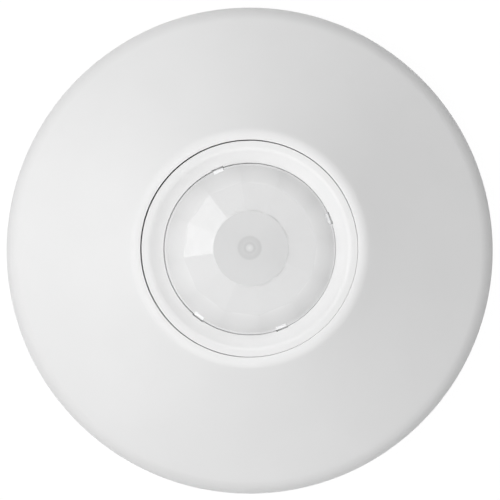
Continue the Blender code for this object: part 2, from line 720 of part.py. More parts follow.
def build_main_board_parts():
    for name, finish, place, segments, outline in ROUND_PARTS:
        lathed_piece(name, finish, outline, segments, at=(*place, MAIN_PART_Z))
    lathed_piece("surge_suppressor", "varistor_coat", SUPPRESSOR_OUTLINE, 18, axis="Y",
                 centre=SUPPRESSOR_CENTRE)
    bevel(box_piece("voltage_regulator", "black_plastic", *REGULATOR), 0.25)


# ---------------------------------------------------------------- terminal block
TERMINAL_BLOCK = ((26.3, -7.7, MAIN_PART_Z), (36.0, 7.7, 13.6))
WIRE_Z = 7.2                # wire axis and floor of the release shafts
SHAFT_HALF = 1.55
SHAFT_TOP_Z = 15
# Wire entry along X, flared at the block's side: (radius, x)
WIRE_OUTLINE = [(0, 28.0), (1.25, 28.0), (1.25, 35.0), (1.8, 36.5), (0, 36.5)]
RELEASE_BUTTON = (1.3, 1.3, 0.0, 6.9)   # half x, half y, low z, high z


def build_terminal_block():
    """Three wire entries in its side, three release shafts in its top."""
    block = box_piece("terminal_block", "terminal_plastic", *TERMINAL_BLOCK)
    shafts = bmesh.new()
    wires = bmesh.new()
    for y in TERMINAL_Y:
        box(shafts, *span(SHAFT_HALF, SHAFT_HALF, WIRE_Z, SHAFT_TOP_Z, (TERMINAL_X, y)))
        lathe(wires, WIRE_OUTLINE, 14, axis="X", centre=(0, y, WIRE_Z))
    cut(block, "terminal_shafts_cut", shafts)
    cut(block, "terminal_wires_cut", wires)
    for k, y in enumerate(TERMINAL_Y):
        axis = empty(f"release_axis_{k + 1}", (TERMINAL_X, y, RELEASE_AXIS_Z), ROOT)
        button = box_piece(f"release_button_{k + 1}", "release_plastic",
                           *span(*RELEASE_BUTTON), parent=axis)
        bevel(button, 0.25)


# ---------------------------------------------------------------- programming switch
SWITCH_BODY = (3.0, 3.0, 0, 3.4)        # half x, half y, low z, high z
SWITCH_WELL = (1.95, 1.4, 4.5, 16)      # radius, low z, high z, segments
# (radius, height from the button's axis point)
STEM_OUTLINE = [(0, -2.5), (1.7, -2.5), (1.7, -0.1), (0, -0.1)]
BUTTON_OUTLINE = [(0, 0.2), (2.2, 0.2), (2.2, 3.6), (3.1, 3.6), (3.1, 4.4), (2.2, 4.4),
                  (2.2, 7.7), (1.9, 8.0), (0, 8.0)]


def build_switch():
    """The switch and the long cap that reaches through the housing."""
    body = box_piece("switch_body", "black_plastic", *span(*SWITCH_BODY),
                     at=(SWITCH_X, 0, MAIN_PART_Z))
    shape = bmesh.new()
    cylinder(shape, *SWITCH_WELL)
    cut(body, "switch_well_cut", shape)
    lathed_piece("switch_stem", "steel_screw", STEM_OUTLINE, 16, parent=BUTTON_AXIS)
    lathed_piece("program_button", "button_plastic", BUTTON_OUTLINE, 16, parent=BUTTON_AXIS)


# ---------------------------------------------------------------- auxiliary relay
RELAY_BASE = (9.6, 4.6, 0.1, 1.4)       # half x, half y, low z, high z
CASE_X, CASE_Y, CASE_Z = 10.2, 5.2, (0.3, 9.95)
CASE_WALL = 0.4

# Coil parts lie along X: name, finish, segments, (radius, x)
COIL_Z = 5.4
COIL_PARTS = (
    ("relay_bobbin", "collar_plastic", 16,
     [(1.2, -8.6), (3.0, -8.6), (3.0, -7.9), (1.7, -7.9), (1.7, 0.9), (3.0, 0.9), (3.0, 1.6),
      (1.2, 1.6)]),
    ("relay_winding", "copper_wire", 16, [(1.9, -7.7), (2.8, -7.7), (2.8, 0.7), (1.9, 0.7)]),
    ("relay_core", "soft_iron", 12,
     [(0, -8.9), (1.0, -8.9), (1.0, 1.8), (1.9, 1.8), (1.9, 2.4), (0, 2.4)]),
)
# (x, z)
YOKE_OUTLINE = [(-9.55, 1.6), (2.6, 1.6), (2.6, 2.15), (-9.05, 2.15), (-9.05, 7.6), (-9.55, 7.6)]
YOKE_HALF = 2.9

# Low and high corners from the armature's hinge
ARMATURE = ((-0.12, -2.8, 0.1), (0.42, 2.8, 5.85))
CARD = ((-0.45, -2.2, 6.0), (3.5, 2.2, 6.5))
CARD_SLOT = ((2.25, -1.1, 5.5), (2.85, 1.1, 7.0))

# (y, z) from the blade's foot
BLADE_OUTLINE = [(-1.6, 0.0), (1.6, 0.0), (1.6, 6.5), (0.8, 6.5), (0.8, 7.4), (-0.8, 7.4),
                 (-0.8, 6.5), (-1.6, 6.5)]
BLADE_HALF = 0.1
RIVET_R = 0.6
RIVET_HEIGHT = 5.6          # above the blade's foot
CONTACT_OFFSET = 1.3        # from the blade to each fixed contact
CONTACT_HALF = (0.15, 1.6)
CONTACT_Z = (1.7, 8.0)
# name, x, ends of its rivet along X from the contact
FIXED_CONTACTS = (
    ("relay_open_contact", BLADE_FOOT[0] - CONTACT_OFFSET, -0.1, 0.49),
    ("relay_closed_contact", BLADE_FOOT[0] + CONTACT_OFFSET, -0.84, 0.1),
)


def build_relay_enclosure():
    bevel(box_piece("relay_base", "relay_plastic", *span(*RELAY_BASE), parent=RELAY), 0.2)
    case = box_piece("relay_case", "relay_plastic", *span(CASE_X, CASE_Y, *CASE_Z), parent=RELAY)
    shape = bmesh.new()
    box(shape, *span(CASE_X - CASE_WALL, CASE_Y - CASE_WALL, -0.5, CASE_Z[1] - CASE_WALL))
    cut(case, "relay_case_cut", shape)


def build_relay_magnet():
    for name, finish, segments, outline in COIL_PARTS:
        lathed_piece(name, finish, outline, segments, axis="X", centre=(0, 0, COIL_Z),
                     parent=RELAY)
    shape = bmesh.new()
    radial(shape, YOKE_OUTLINE, YOKE_HALF, 0)
    piece("relay_yoke", "soft_iron", shape, parent=RELAY)


def build_relay_armature():
    """The armature, hinged at the end of the yoke, and the card it carries."""
    box_piece("relay_armature", "soft_iron", *ARMATURE, parent=ARMATURE_AXIS)
    card = box_piece("relay_card", "collar_plastic", *CARD, parent=ARMATURE_AXIS)
    shape = bmesh.new()
    box(shape, *CARD_SLOT)
    cut(card, "relay_card_cut", shape)


def add_rivet(target, name, low_x, high_x, centre):
    shape = bmesh.new()
    lathe(shape, [(0, low_x), (RIVET_R, low_x), (RIVET_R, high_x), (0, high_x)], 12, axis="X",
          centre=centre)
    unite(target, name, shape)


def build_relay_contacts():
    """The moving blade, and a fixed contact on each side of it."""
    shape = bmesh.new()
    radial(shape, BLADE_OUTLINE, BLADE_HALF, 90)
    blade = piece("relay_blade", "spring_bronze", shape, parent=BLADE_AXIS)
    add_rivet(blade, "relay_rivet_union", -0.4, 0.4, (0, 0, RIVET_HEIGHT))
    for name, x, low_x, high_x in FIXED_CONTACTS:
        contact = box_piece(name, "spring_bronze", *span(*CONTACT_HALF, *CONTACT_Z, (x, 0)),
                            parent=RELAY)
        add_rivet(contact, name + "_rivet_union", low_x, high_x,
                  (x, 0, BLADE_FOOT[2] + RIVET_HEIGHT))


# ---------------------------------------------------------------- assembly
build_front_cover()
build_sensor_housing()
build_lens()
build_base_plate()
build_screws()
build_boards()
build_board_connector()
build_pyro_sensor()
build_sensor_board_parts()
build_main_board_parts()
build_terminal_block()
build_switch()
build_relay_enclosure()
build_relay_magnet()
build_relay_armature()
build_relay_contacts()
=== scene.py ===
# A round ceiling motion sensor. It lies on its base plate: the plate's underside is at z = 0,
# the axis is +Z, and the milky faceted lens is on top. Under the cover are a housing, two
# circuit boards, an infrared sensor, a relay and a terminal block on the +X side.
# Shapes are drawn in millimetres and angles in degrees, counted from +X towards +Y.
import math

import bmesh
import bpy
from mathutils import Matrix, Vector


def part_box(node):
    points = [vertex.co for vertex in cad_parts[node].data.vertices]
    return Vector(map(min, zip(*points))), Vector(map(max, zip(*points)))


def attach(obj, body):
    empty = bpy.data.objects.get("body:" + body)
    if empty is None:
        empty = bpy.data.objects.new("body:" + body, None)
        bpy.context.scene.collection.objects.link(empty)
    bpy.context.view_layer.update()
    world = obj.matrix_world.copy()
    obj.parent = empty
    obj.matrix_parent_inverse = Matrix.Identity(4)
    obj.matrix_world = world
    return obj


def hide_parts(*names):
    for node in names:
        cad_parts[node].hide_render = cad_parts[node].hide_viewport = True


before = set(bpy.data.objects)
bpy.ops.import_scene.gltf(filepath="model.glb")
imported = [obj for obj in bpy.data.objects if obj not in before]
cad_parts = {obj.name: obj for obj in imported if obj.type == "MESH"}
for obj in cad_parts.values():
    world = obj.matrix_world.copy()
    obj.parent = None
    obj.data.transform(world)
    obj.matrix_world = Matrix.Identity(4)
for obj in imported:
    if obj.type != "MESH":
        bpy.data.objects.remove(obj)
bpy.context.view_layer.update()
MM = 0.001


# ------------------------------------------------------------------ places, from the CAD pieces
def mm_box(node):
    """The low and high corner of a CAD piece, in millimetres."""
    low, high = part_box(node)
    return low / MM, high / MM


def centre_xy(node):
    low, high = mm_box(node)
    return (low.x + high.x) / 2, (low.y + high.y) / 2


def centres(stem, count):
    return [centre_xy(f"{stem}_{k + 1}") for k in range(count)]


COVER_LOW, COVER_HIGH = mm_box("front_cover")
HOUSING_LOW, HOUSING_HIGH = mm_box("sensor_housing")
LENS_LOW, LENS_HIGH = mm_box("fresnel_lens")
OVERALL_R, CREST_Z = COVER_HIGH.x, COVER_HIGH.z
TOP_Z = LENS_HIGH.z

SWITCH_XY = centre_xy("program_button")
TERMINAL_XY = centres("release_button", 3)
CASE_SCREWS = centres("housing_screw", 4)
MAIN_SCREWS = centres("main_board_screw", 2)
SENSE_SCREWS = centres("sensor_board_screw", 3)
HEADER_XY = centres("header_pin", 4)
LEAD_XY = centres("pyro_lead", 3)
SENSE_TOP = mm_box("sensor_board")[1].z
MAIN_TOP = mm_box("main_board")[1].z

SNAP_DEG = (45.0, 135.0, 225.0, 315.0)  # snap fingers that hold the cover to the base
TAB_DEG = (21.0, 112.0, 233.0, 292.0)   # tabs that hold the lens in the housing


# ------------------------------------------------------------------ outlines
def polar(radius, degrees):
    return radius * math.cos(math.radians(degrees)), radius * math.sin(math.radians(degrees))


def arc(centre_x, centre_y, radius, start, end, steps):
    points = []
    for k in range(steps + 1):
        x, y = polar(radius, start + (end - start) * k / steps)
        points.append((centre_x + x, centre_y + y))
    return points


def fillet(points, steps=5):
    """Rounds each corner of a closed outline that states a radius as its third number."""
    rounded = []
    for index, (x, y, *radius) in enumerate(points):
        if not radius:
            rounded.append((x, y))
            continue
        corner = Vector((x, y))
        before = Vector(points[index - 1][:2]) - corner
        after = Vector(points[(index + 1) % len(points)][:2]) - corner
        room = min(before.length, after.length) * 0.49
        before = before / before.length
        after = after / after.length
        half_angle = math.acos(before.dot(after)) / 2
        setback = min(radius[0] / math.tan(half_angle), room)
        fitted = setback * math.tan(half_angle)
        centre = corner + (before + after).normalized() * (fitted / math.sin(half_angle))
        start = corner + before * setback - centre
        end = corner + after * setback - centre
        first = math.atan2(start.y, start.x)
        turn = (math.atan2(end.y, end.x) - first + math.pi) % (2 * math.pi) - math.pi
        for k in range(steps + 1):
            angle = first + turn * k / steps
            rounded.append((centre.x + fitted * math.cos(angle),
                            centre.y + fitted * math.sin(angle)))
    return rounded


def rounded_rectangle(half_x, half_y, corner, steps=12, centre=(0, 0)):
    points = []
    for quarter, (side_x, side_y) in enumerate(((1, 1), (-1, 1), (-1, -1), (1, -1))):
        points += arc(side_x * (half_x - corner), side_y * (half_y - corner), corner,
                      90 * quarter, 90 * quarter + 90, steps)
    return [(centre[0] + x, centre[1] + y) for x, y in points]


# ------------------------------------------------------------------ solids
# Each of these draws into a bmesh, and most return the vertices they made.
TURN_FROM_Z = {"X": (math.pi / 2, "Y"), "Y": (-math.pi / 2, "X")}


def lathe(mesh, profile, segments=96, axis="Z", centre=(0, 0), shape=None):
    """Turns a closed (radius, height) profile. shape may move each point as it is made."""
    rings = []
    for index, (radius, height) in enumerate(profile):
        ring = []
        for k in range(1 if radius < 1e-6 else segments):
            turn = 2 * math.pi * k / segments
            point = (radius * math.cos(turn), radius * math.sin(turn), height)
            if shape:
                point = shape(*point, radius, turn, index)
            ring.append(mesh.verts.new(point))
        rings.append(ring)
    made = [vert for ring in rings for vert in ring]
    for one, two in zip(rings, rings[1:] + rings[:1]):
        for k in range(segments):
            after = k + 1
            # a ring on the axis is a single vertex, so repeated corners drop out
            corners = dict.fromkeys((one[k % len(one)], two[k % len(two)],
                                     two[after % len(two)], one[after % len(one)]))
            if len(corners) > 2:
                mesh.faces.new(list(corners))
    if axis != "Z":
        bmesh.ops.rotate(mesh, verts=made, cent=(0, 0, 0),
                         matrix=Matrix.Rotation(TURN_FROM_Z[axis][0], 3, TURN_FROM_Z[axis][1]))
    bmesh.ops.translate(mesh, verts=made, vec=Vector(centre).to_3d())
    return made


def cylinder(mesh, radius, z0, z1, centre=(0, 0), segments=48):
    return lathe(mesh, [(0, z0), (radius, z0), (radius, z1), (0, z1)], segments, centre=centre)


def skin_rings(mesh, rings):
    """Closes both end rings and joins each ring to the next."""
    mesh.faces.new(rings[0][::-1])
    mesh.faces.new(rings[-1])
    for one, two in zip(rings, rings[1:]):
        for k in range(len(one)):
            after = (k + 1) % len(one)
            mesh.faces.new((one[k], one[after], two[after], two[k]))


def loft(mesh, levels):
    """Joins outlines of equal count, given as (outline, z), and closes both ends."""
    rings = [[mesh.verts.new((x, y, z)) for x, y in outline] for outline, z in levels]
    skin_rings(mesh, rings)
    return [vert for ring in rings for vert in ring]


def prism(mesh, outline, z0, z1):
    return loft(mesh, [(outline, z0), (outline, z1)])


def box(mesh, low, high):
    return prism(mesh, [(low[0], low[1]), (high[0], low[1]), (high[0], high[1]),
                        (low[0], high[1])], low[2], high[2])


def round_box(mesh, low, high, corner, edge, steps=4):
    """A box with rounded upright corners and rounded top and bottom edges."""
    centre = ((low[0] + high[0]) / 2, (low[1] + high[1]) / 2)
    half_x, half_y = (high[0] - low[0]) / 2, (high[1] - low[1]) / 2
    levels = []
    for k in range(steps + 1):
        angle = math.radians(90 * k / steps)
        levels.append((edge * (1 - math.sin(angle)), low[2] + edge * (1 - math.cos(angle))))
    levels += [(inset, low[2] + high[2] - z) for inset, z in reversed(levels)]
    return loft(mesh, [(rounded_rectangle(half_x - inset, half_y - inset,
                                          max(corner - inset, 0.02) + 0.001, steps, centre), z)
                       for inset, z in levels])


def boxed(node, corner, edge, steps=4):
    """A builder for a rounded box that fills a CAD piece's bounds."""
    return lambda mesh: round_box(mesh, *mm_box(node), corner, edge, steps)


def skin_pair(mesh, one, two):
    """Closes two facing outlines of vertices and joins their edges."""
    mesh.faces.new(one)
    mesh.faces.new(two[::-1])
    for k in range(len(one)):
        after = (k + 1) % len(one)
        mesh.faces.new((one[after], one[k], two[k], two[after]))


def radial(mesh, outline, half_width, degrees):
    """Extrudes a (radius, z) outline to both sides of its plane, then turns it about Z."""
    one = [mesh.verts.new((radius, -half_width, z)) for radius, z in outline]
    two = [mesh.verts.new((radius, half_width, z)) for radius, z in outline]
    skin_pair(mesh, one, two)
    bmesh.ops.rotate(mesh, verts=one + two, cent=(0, 0, 0),
                     matrix=Matrix.Rotation(math.radians(degrees), 3, "Z"))
    return one + two


# ------------------------------------------------------------------ finished pieces
BEVEL_SEGMENTS = 2


def cut(build):
    return "DIFFERENCE", build


def join(build):
    return "UNION", build


def mesh_object(name, build):
    made = bmesh.new()
    build(made)
    bmesh.ops.remove_doubles(made, verts=made.verts, dist=1e-4)
    bmesh.ops.dissolve_degenerate(made, edges=made.edges, dist=1e-5)
    bmesh.ops.recalc_face_normals(made, faces=made.faces)
    bmesh.ops.scale(made, vec=(MM, MM, MM), verts=made.verts)
    data = bpy.data.meshes.new(name)
    made.to_mesh(data)
    made.free()
    target = bpy.data.objects.new(name, data)
    bpy.context.scene.collection.objects.link(target)
    return target


def close_up(data):
    """Merges the hair-thin edges a boolean can leave where outlines cross at a corner."""
    made = bmesh.new()
    made.from_mesh(data)
    bmesh.ops.remove_doubles(made, verts=made.verts, dist=0.003 * MM)
    bmesh.ops.dissolve_degenerate(made, edges=made.edges, dist=0.001 * MM)
    rim = [edge for edge in made.edges if len(edge.link_faces) == 1]
    if rim:
        bmesh.ops.holes_fill(made, edges=rim, sides=6)
    bmesh.ops.recalc_face_normals(made, faces=made.faces)
    made.to_mesh(data)
    made.free()


def apply_modifiers(target):
    bpy.context.view_layer.update()
    graph = bpy.context.evaluated_depsgraph_get()
    data = bpy.data.meshes.new_from_object(target.evaluated_get(graph))
    old = target.data
    target.modifiers.clear()
    target.data = data
    bpy.data.meshes.remove(old)
    data.name = target.name
    close_up(data)


def piece(name, build, material, node=None, body="base", steps=(), bevel=None,
          smooth=32.0):
    """Makes a piece: the first body, then each cut or join in turn, then a bevel given as
    (width, least angle). node is the CAD piece it stands for, body the part it moves with."""
    target = mesh_object(name, build)
    tools = []
    for k, (operation, build_tool) in enumerate(steps):
        tool = mesh_object(f"{name}_tool_{k}", build_tool)
        tools.append(tool)
        boolean = target.modifiers.new(f"step_{k}", "BOOLEAN")
        boolean.object, boolean.operation, boolean.solver = tool, operation, "EXACT"
    if bevel:
        width, angle = bevel
        rounding = target.modifiers.new("bevel", "BEVEL")
        rounding.width, rounding.segments = width * MM, BEVEL_SEGMENTS
        rounding.limit_method, rounding.angle_limit = "ANGLE", math.radians(angle)
        rounding.use_clamp_overlap = True
    if target.modifiers:
        apply_modifiers(target)
    for tool in tools:
        old = tool.data
        bpy.data.objects.remove(tool, do_unlink=True)
        bpy.data.meshes.remove(old)
    target.data.shade_smooth()
    target.data.set_sharp_from_angle(angle=math.radians(smooth))
    normals = target.modifiers.new("normals", "WEIGHTED_NORMAL")
    normals.keep_sharp = True
    target.data.materials.clear()
    target.data.materials.append(material)
    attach(target, body)
    if node:
        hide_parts(node)
    return target


def loose(name, build, material, body="base"):
    """A visual piece that stands for no CAD piece of its own."""
    return piece(name, build, material, body=body, smooth=35.0)


# ------------------------------------------------------------------ material tools
class Nodes:
    """The node tree of a material or world, with short ways to add and join its nodes."""

    def __init__(self, owner):
        self.owner = owner
        owner.use_nodes = True
        self.tree = owner.node_tree
        self.surface = self.tree.nodes.get("Principled BSDF")

    def feed(self, node, inputs):
        """Links each input to a socket, or sets its value."""
        for key, value in inputs.items():
            if isinstance(value, bpy.types.NodeSocket):
                self.tree.links.new(value, node.inputs[key])
            else:
                node.inputs[key].default_value = value

    def add(self, kind, inputs=None, **settings):
        node = self.tree.nodes.new("ShaderNode" + kind)
        for key, value in settings.items():
            setattr(node, key, value)
        self.feed(node, inputs or {})
        return node

    def coordinates(self, stretch=(1, 1, 1)):
        """Object coordinates in millimetres."""
        place = self.add("TexCoord").outputs["Object"]
        scale = [share / MM for share in stretch]
        return self.add("Mapping", {"Vector": place, "Scale": scale}).outputs["Vector"]

    def noise(self, vector, per_mm, detail=3.0, roughness=0.5):
        return self.add("TexNoise", {"Vector": vector, "Scale": per_mm, "Detail": detail,
                                     "Roughness": roughness}).outputs["Fac"]

    def spread(self, value, low, high, start=0.3, end=0.7):
        """Maps a value between start and end on to low to high."""
        return self.add("MapRange", {"Value": value, "From Min": start, "From Max": end,
                                     "To Min": low, "To Max": high}).outputs["Result"]

    def tint(self, value, dark, light, start=0.3, end=0.7):
        node = self.add("ValToRGB", {"Fac": value})
        first, last = node.color_ramp.elements
        first.position, last.position = start, end
        first.color, last.color = (*dark, 1), (*light, 1)
        return node.outputs["Color"]

    def calculate(self, operation, *values):
        return self.add("Math", dict(enumerate(values)), operation=operation).outputs["Value"]

    def mix_colours(self, factor, one, two, blend="MIX"):
        return self.add("Mix", {"Factor": factor, 6: one, 7: two}, data_type="RGBA",
                        blend_type=blend).outputs[2]

    def bump(self, height, strength, depth_mm, socket="Normal"):
        node = self.add("Bump", {"Height": height, "Strength": strength,
                                 "Distance": depth_mm * MM})
        self.feed(self.surface, {socket: node.outputs["Normal"]})
        return node


def material_nodes(name):
    return Nodes(bpy.data.materials.new(name))


def scaled(colour, share):
    return tuple(min(1.0, channel * share) for channel in colour)


def moulded(name, colour, rough, grain, depth, variation=0.012, rough_spread=0.06, ior=1.5,
            wear=0.02, subsurface=0.0):
    """Injection-moulded plastic: a fine grain (per mm, with a depth in mm), a slow drift in
    tone and sheen, and worn edges that are lighter."""
    tree = material_nodes(name)
    vector = tree.coordinates()
    fine = tree.noise(vector, per_mm=grain, detail=4.0, roughness=0.55)
    slow = tree.noise(vector, per_mm=0.045, detail=2.0)
    drifted = tree.tint(slow, scaled(colour, 1 - variation), scaled(colour, 1 + variation))
    edge = tree.spread(tree.add("NewGeometry").outputs["Pointiness"], low=0.0, high=1.0,
                       start=0.52, end=0.60)
    worn = tree.mix_colours(tree.calculate("MULTIPLY", edge, wear * 4), drifted,
                            (*scaled(colour, 1 + wear), 1))
    sheen = tree.spread(tree.noise(vector, per_mm=0.16), rough - rough_spread,
                        rough + rough_spread)
    tree.feed(tree.surface, {"Base Color": worn, "Roughness": sheen, "IOR": ior})
    if subsurface:
        tree.feed(tree.surface, {"Subsurface Weight": subsurface,
                                 "Subsurface Radius": (1.0, 0.95, 0.9),
                                 "Subsurface Scale": 1.0 * MM})
    tree.bump(fine, strength=0.5, depth_mm=depth)
    return tree.owner


def metal(name, colour, rough, brush=(1, 1, 1), brush_depth=0.004, tarnish=None):
    """Plated or bare metal: brushed or rolled lines (stretched per axis, depth in mm), uneven
    polish, slight tarnish, and brighter rubbed edges."""
    rough_spread = 0.08
    tree = material_nodes(name)
    vector = tree.coordinates()
    brushed = tree.coordinates(brush)
    blotch = tree.noise(vector, per_mm=0.6, detail=4.0, roughness=0.6)
    patchy = tree.tint(blotch, tarnish or scaled(colour, 0.85), colour, start=0.30, end=0.62)
    edge = tree.spread(tree.add("NewGeometry").outputs["Pointiness"], low=0.0, high=0.6,
                       start=0.51, end=0.60)
    rubbed = tree.mix_colours(edge, patchy, (*scaled(colour, 1.15), 1))
    lines = tree.noise(brushed, per_mm=3.0, detail=5.0, roughness=0.6)
    sheen = tree.spread(lines, rough - rough_spread, rough + rough_spread)
    tree.feed(tree.surface, {"Base Color": rubbed, "Metallic": 1.0, "Roughness": sheen})
    tree.bump(lines, strength=0.5, depth_mm=brush_depth)
    return tree.owner


def solder_mask(name):
    """Green solder mask over woven glass: the weave shows faintly, the mask is uneven."""
    tree = material_nodes(name)
    vector = tree.coordinates()
    threads = [tree.add("TexWave", {"Scale": 0.55, "Distortion": 0.6, "Vector": vector},
                        wave_type="BANDS", bands_direction=axis,
                        wave_profile="SIN").outputs["Fac"] for axis in "XY"]
    weave = tree.calculate("MULTIPLY", *threads)
    slow = tree.noise(vector, per_mm=0.12)
    weave_share = 0.25
    total = tree.calculate("MULTIPLY_ADD", weave, weave_share, slow)
    green = tree.tint(total, dark=(0.010, 0.085, 0.035), light=(0.022, 0.150, 0.062),
                      start=0.3, end=0.85)
    tree.feed(tree.surface, {"Base Color": green, "Coat Weight": 0.3, "Coat Roughness": 0.2,
                             "Roughness": tree.spread(slow, low=0.26, high=0.38)})
    tree.bump(weave, strength=0.3, depth_mm=0.01)
    return tree.owner


def clear_epoxy(name, colour):
    tree = material_nodes(name)
    vector = tree.coordinates()
    cloud = tree.noise(vector, per_mm=0.5)
    ripple = tree.noise(vector, per_mm=1.2, detail=2.0)
    tree.feed(tree.surface, {"Base Color": tree.tint(cloud, scaled(colour, 0.8), colour),
                             "Roughness": tree.spread(ripple, low=0.04, high=0.14),
                             "Transmission Weight": 0.55, "IOR": 1.52})
    tree.bump(cloud, strength=0.2, depth_mm=0.01)
    return tree.owner


# The lens tones come in (dark, light) pairs, which a slow cloud mixes. Each pair is the tone
# for one slope, so the tones are painted shading that follows the slope.
LENS_FLAT = ((0.570, 0.572, 0.573), (0.590, 0.591, 0.592))
LENS_LEAN = ((0.720, 0.721, 0.722), (0.740, 0.741, 0.742))
LENS_STEEP = ((0.850, 0.852, 0.853), (0.870, 0.872, 0.873))
SKIRT_LEAN = ((0.525, 0.525, 0.525), (0.543, 0.543, 0.543))
SKIRT_STEEP = ((0.446, 0.446, 0.446), (0.462, 0.462, 0.462))
LENS_SCATTER = 0.94  # how far the matt share's normal turns to straight up
# The dark window's shadow: (distance from the axis in cm, tone)
LENS_CENTRE = ((0.0, 1.14), (0.06, 1.02), (0.11, 0.845), (0.165, 0.91), (0.20, 0.885),
               (0.25, 0.86), (0.31, 1.0))


def window_shadow(tree, vector):
    """Soft rings of darker tone about the axis, with a clear centre."""
    place = tree.add("SeparateXYZ", {"Vector": vector})
    flat = tree.add("CombineXYZ", {"X": place.outputs["X"], "Y": place.outputs["Y"]})
    distance = tree.add("VectorMath", {0: flat.outputs["Vector"]}, operation="LENGTH")
    cm_per_mm = 0.1
    distance_cm = tree.calculate("MULTIPLY", distance.outputs["Value"], cm_per_mm)
    shade = tree.add("ValToRGB", {"Fac": distance_cm})
    ramp = shade.color_ramp
    ramp.interpolation = "EASE"
    ramp.elements[-1].position = LENS_CENTRE[-1][0]
    for position, _ in LENS_CENTRE[1:-1]:
        ramp.elements.new(position)
    for element, (_, tone) in zip(ramp.elements, LENS_CENTRE):
        element.color = (tone, tone, tone, 1)
    return shade.outputs["Color"]


def lens_material(name, lean_tones, steep_tones, glow):
    """Milky polyethylene. Light scatters a long way inside it, so its matt share is shaded
    with a normal turned most of the way to straight up, its tone is painted shading that
    follows the slope, and a trace of painted glow stands for light that has crossed the dome.
    Only the clear gloss on top follows the true surface."""
    tree = material_nodes(name)
    vector = tree.coordinates()
    normal = tree.add("NewGeometry").outputs["Normal"]
    upward = tree.add("SeparateXYZ", {"Vector": normal}).outputs["Z"]
    cloud = tree.noise(vector, per_mm=0.10)
    # painted shading: the tone is set lighter or darker by how steep the surface is
    lean = tree.spread(upward, low=1.0, high=0.0, start=0.86, end=0.93)
    steep = tree.spread(upward, low=1.0, high=0.0, start=0.45, end=0.74)
    colour = tree.tint(cloud, *LENS_FLAT)
    for factor, tones in ((lean, lean_tones), (steep, steep_tones)):
        colour = tree.mix_colours(factor, colour, tree.tint(cloud, *tones))
    shaded = tree.mix_colours(1.0, colour, window_shadow(tree, vector), blend="MULTIPLY")

    turned_up = tree.add("Mix", {
        "Factor": tree.spread(upward, low=0.0, high=LENS_SCATTER, start=0.02, end=0.25),
        4: normal, 5: (0.0, 0.0, 1.0)}, data_type="VECTOR")
    unit = tree.add("VectorMath", {0: turned_up.outputs[1]}, operation="NORMALIZE")
    grain = tree.noise(vector, per_mm=5.0, detail=2.0)
    soft = tree.bump(grain, strength=0.2, depth_mm=0.003)
    tree.feed(soft, {"Normal": unit.outputs["Vector"]})

    sheen = tree.noise(vector, per_mm=0.5)
    coat = tree.calculate("MULTIPLY",
                          tree.spread(upward, low=0.9, high=0.15, start=0.86, end=0.97),
                          tree.spread(upward, low=0.35, high=1.0, start=0.64, end=0.74))
    tree.bump(grain, strength=0.3, depth_mm=0.004, socket="Coat Normal")
    tree.feed(tree.surface, {
        "Base Color": shaded,
        "Roughness": tree.spread(sheen, low=0.45, high=0.55),
        "Specular IOR Level": 0.0,
        "Coat Weight": coat,
        "Coat IOR": 1.54,
        "Coat Roughness": tree.spread(sheen, low=0.17, high=0.23),
        # painted glow, standing for light that has crossed the dome
        "Emission Color": (0.995, 0.998, 1.0, 1.0),
        "Emission Strength": glow})
    return tree.owner


# ------------------------------------------------------------------ materials
WHITE_COVER = moulded("white_cover_plastic", (0.80, 0.80, 0.80), rough=0.46, grain=3.0,
                      depth=0.010)
WHITE_HOUSING = moulded("white_housing_plastic", (0.788, 0.788, 0.788), rough=0.40, grain=3.4,
                        depth=0.006)
WHITE_BASE = moulded("white_base_plastic", (0.76, 0.76, 0.75), rough=0.50, grain=2.4,
                     depth=0.014)
# the lens carries painted shading by slope and a trace of painted glow
LENS = lens_material("milky_lens", LENS_LEAN, LENS_STEEP, glow=0.10)
# painted glow: the skirt stands over the open middle of the dome, so it gets more painted glow
# over darker tones, standing for light that has come through it
LENS_SKIRT = lens_material("milky_lens_skirt", SKIRT_LEAN, SKIRT_STEEP, glow=0.36)

ZINC = metal("zinc_plated_steel", (0.66, 0.67, 0.69), rough=0.30)
NICKEL = metal("nickel_plated_can", (0.78, 0.76, 0.72), rough=0.20, brush=(1, 1, 6),
               brush_depth=0.002)
GOLD = metal("gold_plated_pin", (0.90, 0.68, 0.30), rough=0.24, brush=(4, 4, 1),
             brush_depth=0.002)
IRON = metal("relay_soft_iron", (0.52, 0.52, 0.54), rough=0.42, brush=(1, 5, 5),
             brush_depth=0.006, tarnish=(0.33, 0.32, 0.31))
BRONZE = metal("relay_spring_bronze", (0.80, 0.54, 0.28), rough=0.28, brush=(1, 6, 1),
               brush_depth=0.003)
COPPER = metal("enamelled_copper_wire", (0.74, 0.30, 0.12), rough=0.28, brush_depth=0.002)
ALUMINIUM = metal("can_top_aluminium", (0.82, 0.83, 0.84), rough=0.30, brush=(6, 1, 1))
SILVER = metal("contact_silver", (0.86, 0.85, 0.82), rough=0.22, brush_depth=0.002)
SOLDER = metal("tinned_pad", (0.72, 0.72, 0.70), rough=0.26, brush_depth=0.012)
NYLON = moulded("natural_nylon", (0.74, 0.73, 0.69), rough=0.42, grain=2.0, depth=0.008,
                subsurface=0.2)
DARK_BUTTON = moulded("dark_grey_button_plastic", (0.070, 0.074, 0.080), rough=0.42,
                      grain=2.6, depth=0.010, variation=0.06, wear=0.5)
ORANGE = moulded("orange_release_plastic", (0.78, 0.24, 0.035), rough=0.40, grain=2.6,
                 depth=0.008, variation=0.04, wear=0.15)
GREEN = moulded("green_terminal_plastic", (0.030, 0.165, 0.075), rough=0.44, grain=2.6,
                depth=0.010, variation=0.06, wear=0.3)
BLACK = moulded("black_moulded_plastic", (0.020, 0.020, 0.022), rough=0.48, grain=3.5,
                depth=0.010, variation=0.10, wear=0.6)
RELAY_BLACK = moulded("relay_black_plastic", (0.028, 0.028, 0.032), rough=0.30, grain=2.0,
                      depth=0.005, variation=0.08, wear=0.5)
SLEEVE = moulded("capacitor_sleeve_film", (0.022, 0.034, 0.085), rough=0.30, grain=0.8,
                 depth=0.010, variation=0.08, wear=0.3)
